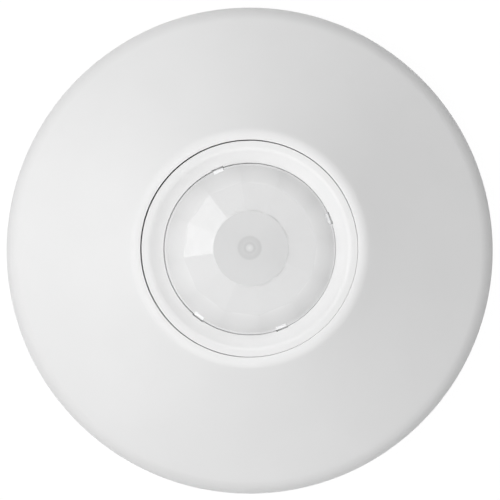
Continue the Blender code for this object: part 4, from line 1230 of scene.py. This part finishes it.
def collar(mesh):
    foot, top = RING_LOW.z, RING_HIGH.z
    lathe(mesh, fillet([
        (4.9, foot), (7.2, foot, 0.1), (7.2, foot + 0.6, 0.25), (6.3, foot + 1.2, 0.5),
        (6.1, top - 0.4, 0.2), (5.7, top, 0.25), (4.9, top, 0.3)]), 112)


def collar_slots(mesh):
    foot = RING_LOW.z
    for k in range(4):
        radial(mesh, [(5.6, foot - 0.5), (8.0, foot - 0.5), (8.0, foot + 0.45),
                      (5.6, foot + 0.45)], 0.8, 45 + 90 * k)


piece("sensor_can", sensor_can, NICKEL, "pyro_can", steps=[cut(can_opening)],
      bevel=(0.04, 50))
piece("sensor_header", sensor_header, NICKEL, "pyro_header")
piece("sensor_window", boxed("pyro_window", 0.15, 0.05), FILTER, "pyro_window")
piece("sensor_element", boxed("pyro_element", 0.15, 0.08), CERAMIC, "pyro_element")
loose("sensor_element_electrodes", electrodes, SILVER)
for number in range(1, 4):
    node = f"pyro_lead_{number}"
    piece(f"sensor_lead_{number}", lambda mesh: sensor_lead(mesh, node), GOLD, node)
piece("sensor_collar", collar, NYLON, "pyro_collar",
      steps=[cut(collar_slots)])


# ------------------------------------------------------------------ status light
LED_LOW, LED_HIGH = mm_box("status_led")
LED_XY = centre_xy("status_led")
LED_R, LED_FLANGE_R = 1.5, 1.9


def led(mesh):
    foot, dome_z = LED_LOW.z, LED_HIGH.z - LED_R
    outline = fillet([(0, foot), (LED_FLANGE_R, foot, 0.08), (LED_FLANGE_R, foot + 0.9, 0.1),
                      (LED_R, foot + 0.92, 0.08), (LED_R, dome_z)], 4)
    # nothing of the flange may stand above the foot of the dome
    outline = [point for point in outline if point[1] < dome_z + 1e-6]
    lathe(mesh, outline + arc(0, dome_z, LED_R, 4, 90, 12), 64, centre=LED_XY)


def led_frame(mesh):
    x, y = LED_XY
    # each: from x, to x, height
    for x0, x1, height in ((-0.95, -0.25, 2.3), (0.25, 0.85, 2.0)):
        round_box(mesh, (x + x0, y - 0.25, LED_LOW.z + 0.12),
                  (x + x1, y + 0.25, LED_LOW.z + height), 0.08, 0.05)


piece("status_lamp", led, RED_EPOXY, "status_led")
loose("status_lamp_leadframe", led_frame, SILVER)


# ------------------------------------------------------------------ packages with bent leads
def gull_leads(mesh, low, high, count, sides, board_top, reach=0.9, width=0.32, exit_z=None,
               thick=0.14, margin=0.8):
    """Bent leads along a package's sides, from the body out and down to the board."""
    exit_z = (low.z + high.z) / 2 if exit_z is None else exit_z
    foot_z = board_top + thick / 2 + 0.01
    path = [(-0.02, exit_z), (0.32, exit_z), (0.50, foot_z), (reach, foot_z)]
    outline = [(outward, z + thick / 2) for outward, z in path]
    outline += [(outward, z - thick / 2) for outward, z in reversed(path)]
    for side in sides:
        axis = "XY".index(side[1])
        across = 1 - axis
        sign = 1 if side[0] == "+" else -1
        face = (high if sign == 1 else low)[axis]
        for k in range(count):
            share = k / (count - 1) if count > 1 else 0.5
            middle = low[across] + margin + (high[across] - low[across] - 2 * margin) * share
            one, two = [], []
            for outward, z in outline:
                for verts, shift in ((one, -width / 2), (two, width / 2)):
                    point = [0, 0, z]
                    point[axis] = face + sign * outward
                    point[across] = middle + shift
                    verts.append(mesh.verts.new(point))
            skin_pair(mesh, one, two)


def package(mesh, low, high, draft):
    """A moulded chip body with drafted sides and a parting line."""
    centre = ((low.x + high.x) / 2, (low.y + high.y) / 2)
    half_x, half_y, middle = (high.x - low.x) / 2, (high.y - low.y) / 2, (low.z + high.z) / 2
    # each: inset, height
    stations = [(draft + 0.05, low.z), (draft, low.z + 0.05), (0.0, middle - 0.03),
                (0.0, middle + 0.03), (draft, high.z - 0.05), (draft + 0.05, high.z)]
    loft(mesh, [(rounded_rectangle(half_x - inset, half_y - inset, 0.12, 4, centre), z)
                for inset, z in stations])


CONTROLLER = mm_box("microcontroller")


def first_pin_dimple(mesh):
    low, high = CONTROLLER
    cylinder(mesh, 0.4, high.z - 0.08, high.z + 0.5, (low.x + 1.1, high.y - 1.1), 32)


piece("controller_package", lambda mesh: package(mesh, *CONTROLLER, draft=0.12), BLACK,
      "microcontroller", steps=[cut(first_pin_dimple)])
loose("controller_leads",
      lambda mesh: gull_leads(mesh, *CONTROLLER, 8, ("+X", "-X", "+Y", "-Y"), SENSE_TOP),
      SOLDER)


# ------------------------------------------------------------------ capacitors
def capacitor(name, node, vent):
    """A sleeved can with a scored top. vent is the direction of the score and the stripe."""
    low, high = mm_box(node)
    x, y = centre_xy(node)
    radius, foot, top = (high.x - low.x) / 2, low.z, high.z
    rows = fillet([
        (0, foot), (radius * 0.93, foot, 0.1), (radius, foot + 0.35, 0.25),
        (radius, foot + 0.85, 0.12), (radius - 0.22, foot + 1.15, 0.2),
        (radius, foot + 1.45, 0.12), (radius, top - 0.25, 0.35),
        (radius * 0.86, top - 0.05, 0.1), (radius * 0.83, top - 0.16, 0.05), (0, top - 0.16)])

    def score(turn):
        def build(mesh):
            made = box(mesh, (-radius * 0.62, -0.09, top - 0.26),
                       (radius * 0.62, 0.09, top + 0.3))
            bmesh.ops.rotate(mesh, verts=made, cent=(0, 0, 0),
                             matrix=Matrix.Rotation(math.radians(turn), 3, "Z"))
            bmesh.ops.translate(mesh, verts=made, vec=(x, y, 0))
        return build

    made = piece(name, lambda mesh: lathe(mesh, rows, 88, centre=(x, y)), SLEEVE,
                 node, steps=[cut(score(vent + 60 * k)) for k in range(3)])
    for material in (ALUMINIUM, STRIPE, RUBBER):
        made.data.materials.append(material)
    for face in made.data.polygons:
        centre = face.center / MM
        distance = math.hypot(centre.x - x, centre.y - y)
        degrees = math.degrees(math.atan2(centre.y - y, centre.x - x))
        if centre.z > top - 0.4 and distance < radius * 0.84:
            face.material_index = 1
        elif centre.z < foot + 0.2 and distance < radius * 0.85:
            face.material_index = 3
        elif distance > radius * 0.8 and abs((degrees - vent) % 360 - 20) < 20:
            face.material_index = 2


capacitor("capacitor_tall", "capacitor_1", vent=15)
capacitor("capacitor_short", "capacitor_2", vent=200)


# ------------------------------------------------------------------ inductor
COIL_LOW, COIL_HIGH = mm_box("power_inductor")
COIL_XY = centre_xy("power_inductor")


def inductor_core(mesh):
    foot, top = COIL_LOW.z, COIL_HIGH.z
    lathe(mesh, fillet([
        (0, foot), (3.8, foot, 0.15), (3.8, foot + 0.8, 0.12), (2.4, foot + 0.9),
        (2.4, foot + 3.0), (3.8, foot + 3.1, 0.12), (3.8, top, 0.15), (0, top)], 4), 88,
        centre=COIL_XY)


def coil(mesh, inner, outer, z0, z1, turns, axis="Z", centre=(0, 0), segments=96):
    """A close winding: its outside shows each turn of the wire."""
    pitch = (z1 - z0) / turns
    count = turns * 8
    rows = [(inner, z0)]
    rows += [(outer, z0 + (z1 - z0) * k / count) for k in range(count + 1)]
    rows.append((inner, z1))

    def wind(x, y, z, radius, turn, index):
        if 0 < index < len(rows) - 1:
            phase = ((z - z0) / pitch - turn / (2 * math.pi)) % 1.0
            sag = 1 - math.sqrt(max(0.0, 1 - (2 * phase - 1) ** 2))
            grown = radius - pitch * 0.5 * sag
            x, y = x * grown / radius, y * grown / radius
        return x, y, z

    lathe(mesh, rows, segments, axis, centre, wind)


piece("inductor_core", inductor_core, FERRITE, "power_inductor")
loose("inductor_winding",
      lambda mesh: coil(mesh, 2.45, 3.35, COIL_LOW.z + 1.0, COIL_LOW.z + 2.9, turns=6,
                        centre=COIL_XY), COPPER)


# ------------------------------------------------------------------ surge suppressor
SURGE_LOW, SURGE_HIGH = mm_box("surge_suppressor")
SURGE_CENTRE = (SURGE_LOW + SURGE_HIGH) / 2


def surge_disc(mesh):
    """An upright disc, its axis along Y."""
    disc_r = (SURGE_HIGH.x - SURGE_LOW.x) / 2
    half = (SURGE_HIGH.y - SURGE_LOW.y) / 2
    rows = fillet([(0, -half), (disc_r * 0.8, -half, 0.5), (disc_r, -half * 0.68, 0.8),
                   (disc_r, half * 0.68, 0.8), (disc_r * 0.8, half, 0.5), (0, half)], 7)

    def sag(x, y, z, radius, turn, index):
        # a dipped coating is never quite round
        lobes = 0.012 * math.sin(3 * turn + 1.0) - 0.010 * (1 + math.cos(2 * turn))
        share = 1 + lobes * radius / disc_r
        return x * share, y * share, z

    lathe(mesh, rows, 96, "Y", SURGE_CENTRE, sag)


def wire(mesh, points, radius, segments=20):
    """A round wire along straight lines, mitred at each bend and closed at both ends."""
    points = [Vector(point) for point in points]
    runs = [(end - start).normalized() for start, end in zip(points, points[1:])]
    rings = []
    side = None
    for index, point in enumerate(points):
        along = sum(runs[max(index - 1, 0):index + 1], Vector((0, 0, 0))).normalized()
        side = along.orthogonal() if side is None else side - along * side.dot(along)
        side.normalize()
        up = along.cross(side)
        turns = [2 * math.pi * k / segments for k in range(segments)]
        rings.append([mesh.verts.new(point + (side * math.cos(turn) + up * math.sin(turn))
                                     * radius) for turn in turns])
    skin_rings(mesh, rings)


def surge_leads(mesh):
    for side, shift in ((-1, 0.6), (1, -0.6)):
        x, y = SURGE_CENTRE.x + side * 2.2, SURGE_CENTRE.y
        wire(mesh, [(x, y + shift, MAIN_TOP + 0.02), (x, y + shift, SURGE_LOW.z + 0.35),
                    (x - side * 0.2, y + shift * 0.6, SURGE_LOW.z + 0.9)], 0.28)


piece("surge_disc", surge_disc, VARISTOR, "surge_suppressor")
loose("surge_disc_leads", surge_leads, SOLDER)


# ------------------------------------------------------------------ voltage regulator
REGULATOR = mm_box("voltage_regulator")


def regulator_leads(mesh):
    """Three leads on the -Y side and one wide tab on the +Y side."""
    gull_leads(mesh, *REGULATOR, 3, ("-Y",), MAIN_TOP, reach=1.2, width=0.6, thick=0.2,
               margin=1.0)
    gull_leads(mesh, *REGULATOR, 1, ("+Y",), MAIN_TOP, reach=1.2, width=3.6, thick=0.2)


piece("regulator_package", lambda mesh: package(mesh, *REGULATOR, draft=0.18), BLACK,
      "voltage_regulator")
loose("regulator_leads", regulator_leads, SOLDER)


# ------------------------------------------------------------------ terminal block
BLOCK_LOW, BLOCK_HIGH = mm_box("terminal_block")
WIRE_Z = 7.2
GROOVE_Y = (-2.5, 2.5)


def button_shafts(mesh):
    for place in TERMINAL_XY:
        prism(mesh, rounded_rectangle(1.55, 1.55, 0.3, 4, place), WIRE_Z, 15)


def wire_holes(mesh):
    """Holes along X that flare towards the +X face."""
    for _, y in TERMINAL_XY:
        lathe(mesh, [(0, 28.0), (1.25, 28.0), (1.25, 34.7), (1.9, 36.3), (1.9, 37.0),
                     (0, 37.0)], 48, "X", (0, y, WIRE_Z))


def top_grooves(mesh):
    for y in GROOVE_Y:
        box(mesh, (BLOCK_LOW.x - 1, y - 0.2, BLOCK_HIGH.z - 0.5),
            (BLOCK_HIGH.x + 1, y + 0.2, BLOCK_HIGH.z + 1))


def side_grooves(mesh):
    for y in GROOVE_Y:
        box(mesh, (BLOCK_HIGH.x - 0.3, y - 0.2, BLOCK_LOW.z - 1),
            (BLOCK_HIGH.x + 1, y + 0.2, BLOCK_HIGH.z + 1.2))


def release_slot(mesh, node):
    x, y = centre_xy(node)
    top = mm_box(node)[1].z
    box(mesh, (x - 0.85, y - 0.25, top - 0.45), (x + 0.85, y + 0.25, top + 0.5))


piece("terminal_body", boxed("terminal_block", 0.35, 0.3), GREEN,
      "terminal_block",
      steps=[cut(button_shafts), cut(wire_holes), cut(top_grooves), cut(side_grooves)])
for number in range(1, 4):
    node = f"release_button_{number}"
    piece(f"release_{number}_cap", boxed(node, 0.3, 0.22), ORANGE, node,
          f"release_{number}", steps=[cut(lambda mesh: release_slot(mesh, node))])


# ------------------------------------------------------------------ programming switch
SWITCH_LOW, SWITCH_HIGH = mm_box("switch_body")
SWITCH_AXIS = (SWITCH_XY[0], 0)


def switch_plate(mesh):
    """A square plate with clipped corners and a round hole, held by four rivets."""
    x0, y0 = SWITCH_AXIS
    half, corner_r, hole_r, count = 2.85, 3.86, 2.02, 72
    turns = [2 * math.pi * (k + 0.5) / count for k in range(count)]
    outer = [min(half / max(abs(math.cos(turn)), abs(math.sin(turn))), corner_r)
             for turn in turns]
    rings = [[mesh.verts.new((x0 + radius * math.cos(turn), y0 + radius * math.sin(turn), z))
              for turn, radius in zip(turns, radii)]
             for radii in (outer, [hole_r] * count)
             for z in (SWITCH_HIGH.z + 0.02, SWITCH_HIGH.z + 0.12)]
    outer_low, outer_high, inner_low, inner_high = rings
    loop = [outer_low, outer_high, inner_high, inner_low]
    for one, two in zip(loop, loop[1:] + loop[:1]):
        for k in range(count):
            after = (k + 1) % count
            mesh.faces.new((one[k], one[after], two[after], two[k]))
    top = SWITCH_HIGH.z
    rivet_rows = [(0, top + 0.14), (0.34, top + 0.14), (0.30, top + 0.30), (0.18, top + 0.36),
                  (0, top + 0.38)]
    for side_x in (-1, 1):
        for side_y in (-1, 1):
            lathe(mesh, rivet_rows, 24, centre=(x0 + side_x * 2.2, y0 + side_y * 2.2))


def switch_well(mesh):
    cylinder(mesh, 1.95, SWITCH_LOW.z + 1.4, SWITCH_HIGH.z + 1, SWITCH_AXIS, 56)


def switch_leads(mesh):
    gull_leads(mesh, SWITCH_LOW, SWITCH_HIGH, 2, ("+Y", "-Y"), MAIN_TOP, reach=1.1, width=0.7,
               exit_z=SWITCH_LOW.z + 0.9, thick=0.2)


def plunger(mesh):
    low, high = mm_box("switch_stem")
    lathe(mesh, fillet([(0, low.z), (1.7, low.z, 0.1), (1.7, high.z, 0.2), (0, high.z)], 4),
          56, centre=SWITCH_AXIS)


def button(mesh):
    """A cap with a collar round its shaft and a dished top."""
    low, high = mm_box("program_button")
    foot, top = low.z, high.z
    shaft_r, collar_r, collar_low, collar_top = 2.2, 3.1, foot + 3.4, foot + 4.2
    rows = fillet([
        (0, foot), (shaft_r, foot, 0.15), (shaft_r, collar_low, 0.1),
        (collar_r, collar_low, 0.12), (collar_r, collar_top, 0.12),
        (shaft_r, collar_top, 0.1), (shaft_r, top, 0.35)], 6)
    rows += [(1.55, top), (1.35, top - 0.02), (1.0, top - 0.12), (0.5, top - 0.19),
             (0, top - 0.21)]
    lathe(mesh, rows, 80, centre=SWITCH_AXIS)


piece("switch_case", boxed("switch_body", 0.3, 0.12), BLACK, "switch_body",
      steps=[cut(switch_well)])
loose("switch_plate", switch_plate, ZINC)
loose("switch_leads", switch_leads, SOLDER)
piece("switch_plunger", plunger, ZINC, "switch_stem", "program_button")
piece("button_cap", button, DARK_BUTTON, "program_button", "program_button")


# ------------------------------------------------------------------ relay
RELAY_LOW, RELAY_HIGH = mm_box("relay_case")
RELAY_WALL = 0.4
RELAY_CENTRE = Vector(((RELAY_LOW.x + RELAY_HIGH.x) / 2, (RELAY_LOW.y + RELAY_HIGH.y) / 2,
                       RELAY_HIGH.z - 9.95))
BOBBIN_LOW, BOBBIN_HIGH = mm_box("relay_bobbin")
RELAY_AXIS = (RELAY_CENTRE.x, RELAY_CENTRE.y, (BOBBIN_LOW.z + BOBBIN_HIGH.z) / 2)
BLADE_LOW, BLADE_HIGH = mm_box("relay_blade")
BLADE_X = (BLADE_LOW.x + BLADE_HIGH.x) / 2
CONTACT_Z = RELAY_CENTRE.z + 7.2
STRIP_HALF, STRIP_CORNER = 1.6, 0.25
# (distance along X from the relay's middle, radius) is swapped here: radius comes first
FORMER_OUTLINE = [(1.2, -8.6), (3.0, -8.6, 0.15), (3.0, -7.9, 0.1), (1.7, -7.9), (1.7, 0.9),
                  (3.0, 0.9, 0.1), (3.0, 1.6, 0.15), (1.2, 1.6)]
POLE_OUTLINE = [(0, -8.9), (1.0, -8.9, 0.15), (1.0, 1.8), (1.9, 1.8, 0.1), (1.9, 2.4, 0.15),
                (0, 2.4)]
# The L-shaped frame as (x, z) from the relay's middle
FRAME_OUTLINE = [(-9.55, 1.6, 0.6), (2.6, 1.6), (2.6, 2.15), (-9.05, 2.15, 0.15),
                 (-9.05, 7.6), (-9.55, 7.6)]


def relay_cavity(mesh):
    low, high = RELAY_LOW, RELAY_HIGH
    box(mesh, (low.x + RELAY_WALL, low.y + RELAY_WALL, low.z - 1),
        (high.x - RELAY_WALL, high.y - RELAY_WALL, high.z - RELAY_WALL))


def relay_frame(mesh):
    made = radial(mesh, fillet(FRAME_OUTLINE), 2.9, 0)
    bmesh.ops.translate(mesh, verts=made, vec=RELAY_CENTRE)


def pusher_slot(mesh):
    low, high = mm_box("relay_card")
    y = RELAY_CENTRE.y
    box(mesh, (BLADE_X - 0.3, y - 1.1, low.z - 1), (BLADE_X + 0.3, y + 1.1, high.z + 1))


def strip(mesh, z0, z1, x, half_thick, tongue=None):
    """An upright metal strip across X. tongue is (half width, z) where its top narrows."""
    half, corner = STRIP_HALF, STRIP_CORNER
    outline = [(-half, z0), (half, z0)]
    if tongue:
        narrow, shoulder = tongue
        outline += [(half, shoulder, corner), (narrow, shoulder, corner * 0.6),
                    (narrow, z1, corner), (-narrow, z1, corner),
                    (-narrow, shoulder, corner * 0.6), (-half, shoulder, corner)]
    else:
        outline += [(half, z1, corner), (-half, z1, corner)]
    outline = fillet(outline)
    one, two = ([mesh.verts.new((side_x, RELAY_CENTRE.y + y, z)) for y, z in outline]
                for side_x in (x - half_thick, x + half_thick))
    skin_pair(mesh, one, two)


def contact(mesh, x0, x1):
    """A contact with a rounded face at x1, lying along X."""
    side = 1 if x1 > x0 else -1
    length = abs(x1 - x0)
    rows = fillet([(0, 0), (0.6, 0), (0.6, length - 0.05, 0.12), (0.4, length, 0.1),
                   (0, length)], 4)
    made = lathe(mesh, rows, 40)
    placing = (Matrix.Translation((x0, RELAY_CENTRE.y, CONTACT_Z))
               @ Matrix.Rotation(side * math.pi / 2, 4, "Y"))
    bmesh.ops.transform(mesh, matrix=placing, verts=made)


def moving_contacts(mesh):
    for side in (1, -1):
        contact(mesh, BLADE_X + side * 0.12, BLADE_X + side * 0.4)


def fixed_contact(name, node, x, tip):
    """A fixed strip and its contact. x and tip are measured from the relay's middle."""
    low, high = mm_box(node)
    x, tip = RELAY_CENTRE.x + x, RELAY_CENTRE.x + tip
    side = 1 if tip > x else -1
    piece(name, lambda mesh: strip(mesh, low.z, high.z, x, 0.15), BRONZE, node)
    loose(name + "_contact", lambda mesh: contact(mesh, x + side * 0.17, tip), SILVER)


piece("relay_cover", boxed("relay_case", 0.7, 0.35, steps=6), RELAY_BLACK,
      "relay_case", steps=[cut(relay_cavity)])
piece("relay_floor", boxed("relay_base", 0.4, 0.15), RELAY_BLACK,
      "relay_base")
piece("relay_coil_former",
      lambda mesh: lathe(mesh, fillet(FORMER_OUTLINE, 4), 88, "X", RELAY_AXIS), NYLON,
      "relay_bobbin")
piece("relay_coil",
      lambda mesh: coil(mesh, 1.9, 2.8, -7.7, 0.7, turns=34, axis="X", centre=RELAY_AXIS,
                        segments=72), COPPER, "relay_winding")
piece("relay_pole", lambda mesh: lathe(mesh, fillet(POLE_OUTLINE, 4), 72, "X", RELAY_AXIS),
      IRON, "relay_core")
piece("relay_frame", relay_frame, IRON, "relay_yoke", bevel=(0.06, 60))
piece("relay_flap", boxed("relay_armature", 0.08, 0.06), IRON, "relay_armature",
      "armature")
piece("relay_pusher", boxed("relay_card", 0.3, 0.08), NYLON, "relay_card",
      "armature", steps=[cut(pusher_slot)])
piece("relay_spring_blade",
      lambda mesh: strip(mesh, BLADE_LOW.z, BLADE_HIGH.z, BLADE_X, 0.1,
                         tongue=(0.8, BLADE_LOW.z + 6.5)), BRONZE,
      "relay_blade", "blade")
loose("relay_moving_contacts", moving_contacts, SILVER, "blade")
fixed_contact("relay_make_strip", "relay_open_contact", x=4.15, tip=4.64)
fixed_contact("relay_break_strip", "relay_closed_contact", x=6.75, tip=5.91)


# ------------------------------------------------------------------ floor
FLOOR_HALF, FLOOR_Z = 6.0, -0.0003  # in metres


def floor_material(name):
    """Plain white: it lights the object from below as a matt sheet does, shows a faint
    contact shadow, and is open from behind and to the lamp behind it."""
    tree = material_nodes(name)
    tree.feed(tree.surface, {"Base Color": (0.86, 0.86, 0.86, 1), "Roughness": 0.9})
    glow = tree.add("Emission", {"Strength": 1.03})
    path = tree.add("LightPath")
    glow_share = 0.93
    share = tree.calculate("MULTIPLY", path.outputs["Is Camera Ray"], glow_share)
    front = tree.add("MixShader", {"Fac": share, 1: tree.surface.outputs["BSDF"],
                                   2: glow.outputs["Emission"]})
    behind = tree.add("NewGeometry").outputs["Backfacing"]
    clear = tree.add("BsdfTransparent")
    open_to = tree.calculate("MAXIMUM", behind, path.outputs["Is Shadow Ray"])
    sided = tree.add("MixShader", {"Fac": open_to, 1: front.outputs["Shader"],
                                   2: clear.outputs["BSDF"]})
    tree.feed(tree.tree.nodes["Material Output"], {"Surface": sided.outputs["Shader"]})
    return tree.owner


def make_floor():
    made = bmesh.new()
    made.faces.new([made.verts.new((x * FLOOR_HALF, y * FLOOR_HALF, FLOOR_Z))
                    for x, y in ((-1, -1), (1, -1), (1, 1), (-1, 1))])
    data = bpy.data.meshes.new("studio_floor")
    made.to_mesh(data)
    made.free()
    floor = bpy.data.objects.new("studio_floor", data)
    bpy.context.scene.collection.objects.link(floor)
    data.materials.append(floor_material("studio_floor"))


make_floor()


# ------------------------------------------------------------------ world and lights
scene = bpy.context.scene


def make_world():
    """White to the camera, and only a faint fill for everything else."""
    scene.world = bpy.data.worlds.new("studio")
    tree = Nodes(scene.world)
    tree.tree.nodes.clear()
    out = tree.add("OutputWorld")
    fill = tree.add("Background", {"Color": (1, 1, 1, 1), "Strength": 0.02})
    seen = tree.add("Background", {"Color": (1, 1, 1, 1), "Strength": 1.0})
    path = tree.add("LightPath")
    mix = tree.add("MixShader", {"Fac": path.outputs["Is Camera Ray"],
                                 1: fill.outputs["Background"], 2: seen.outputs["Background"]})
    tree.feed(out, {"Surface": mix.outputs["Shader"]})


make_world()
scene.view_settings.view_transform = "Standard"
scene.view_settings.look = "None"
scene.view_settings.exposure = 0.0
scene.view_settings.gamma = 1.0

LIGHT_TARGET = Vector((0, 0, 0.02))
# Each: name, azimuth, elevation, distance, width and height in metres, power in watts
LIGHTS = [
    ("left_high", 183, 60, 2.2, 1.4, 1.4, 20.4),
    ("far_high", 90, 60, 2.2, 1.4, 1.4, 17.6),
    ("near_high", 270, 60, 2.2, 1.4, 1.4, 22.6),
    ("low_left", 158, 12, 1.4, 0.9, 0.26, 2.4),
    ("behind", 0, -90, 2.2, 1.0, 1.0, 28.0),
]


def aim(thing, away):
    """Turns a lamp or camera so that it looks against the direction away."""
    thing.rotation_mode = "QUATERNION"
    thing.rotation_quaternion = (-away).to_track_quat("-Z", "Y")


def softbox(name, azimuth, elevation, distance, width, height, power):
    """A soft rectangular light that faces the object."""
    data = bpy.data.lights.new(name, "AREA")
    data.shape = "RECTANGLE"
    data.size, data.size_y = width, height
    data.energy = power
    lamp = bpy.data.objects.new(name, data)
    scene.collection.objects.link(lamp)
    turn, rise = math.radians(azimuth), math.radians(elevation)
    away = Vector((math.cos(rise) * math.cos(turn), math.cos(rise) * math.sin(turn),
                   math.sin(rise)))
    lamp.location = LIGHT_TARGET + away * distance
    aim(lamp, away)
    lamp.visible_camera = False


for light in LIGHTS:
    softbox(*light)


# ------------------------------------------------------------------ camera
CAMERA_DISTANCE = 3.0
CAMERA_TILT = math.radians(1.07)  # from straight above, towards -Y
VIEW_MARGIN = 1.02851031          # half the view's width over the cover's radius
SENSOR_WIDTH = 36.0


def make_camera():
    data = bpy.data.cameras.new("camera")
    camera = bpy.data.objects.new("camera", data)
    scene.collection.objects.link(camera)
    half_width = OVERALL_R * MM * VIEW_MARGIN
    data.sensor_width = SENSOR_WIDTH
    data.lens = SENSOR_WIDTH / 2 * CAMERA_DISTANCE / half_width
    data.clip_start, data.clip_end = 0.05, 20.0
    data.shift_x, data.shift_y = 0.00066, 0.00114
    away = Vector((0.0, -math.sin(CAMERA_TILT), math.cos(CAMERA_TILT)))
    camera.location = Vector((0.0, 0.0, RIM_Z * MM)) + away * CAMERA_DISTANCE
    aim(camera, away)
    scene.camera = camera


make_camera()
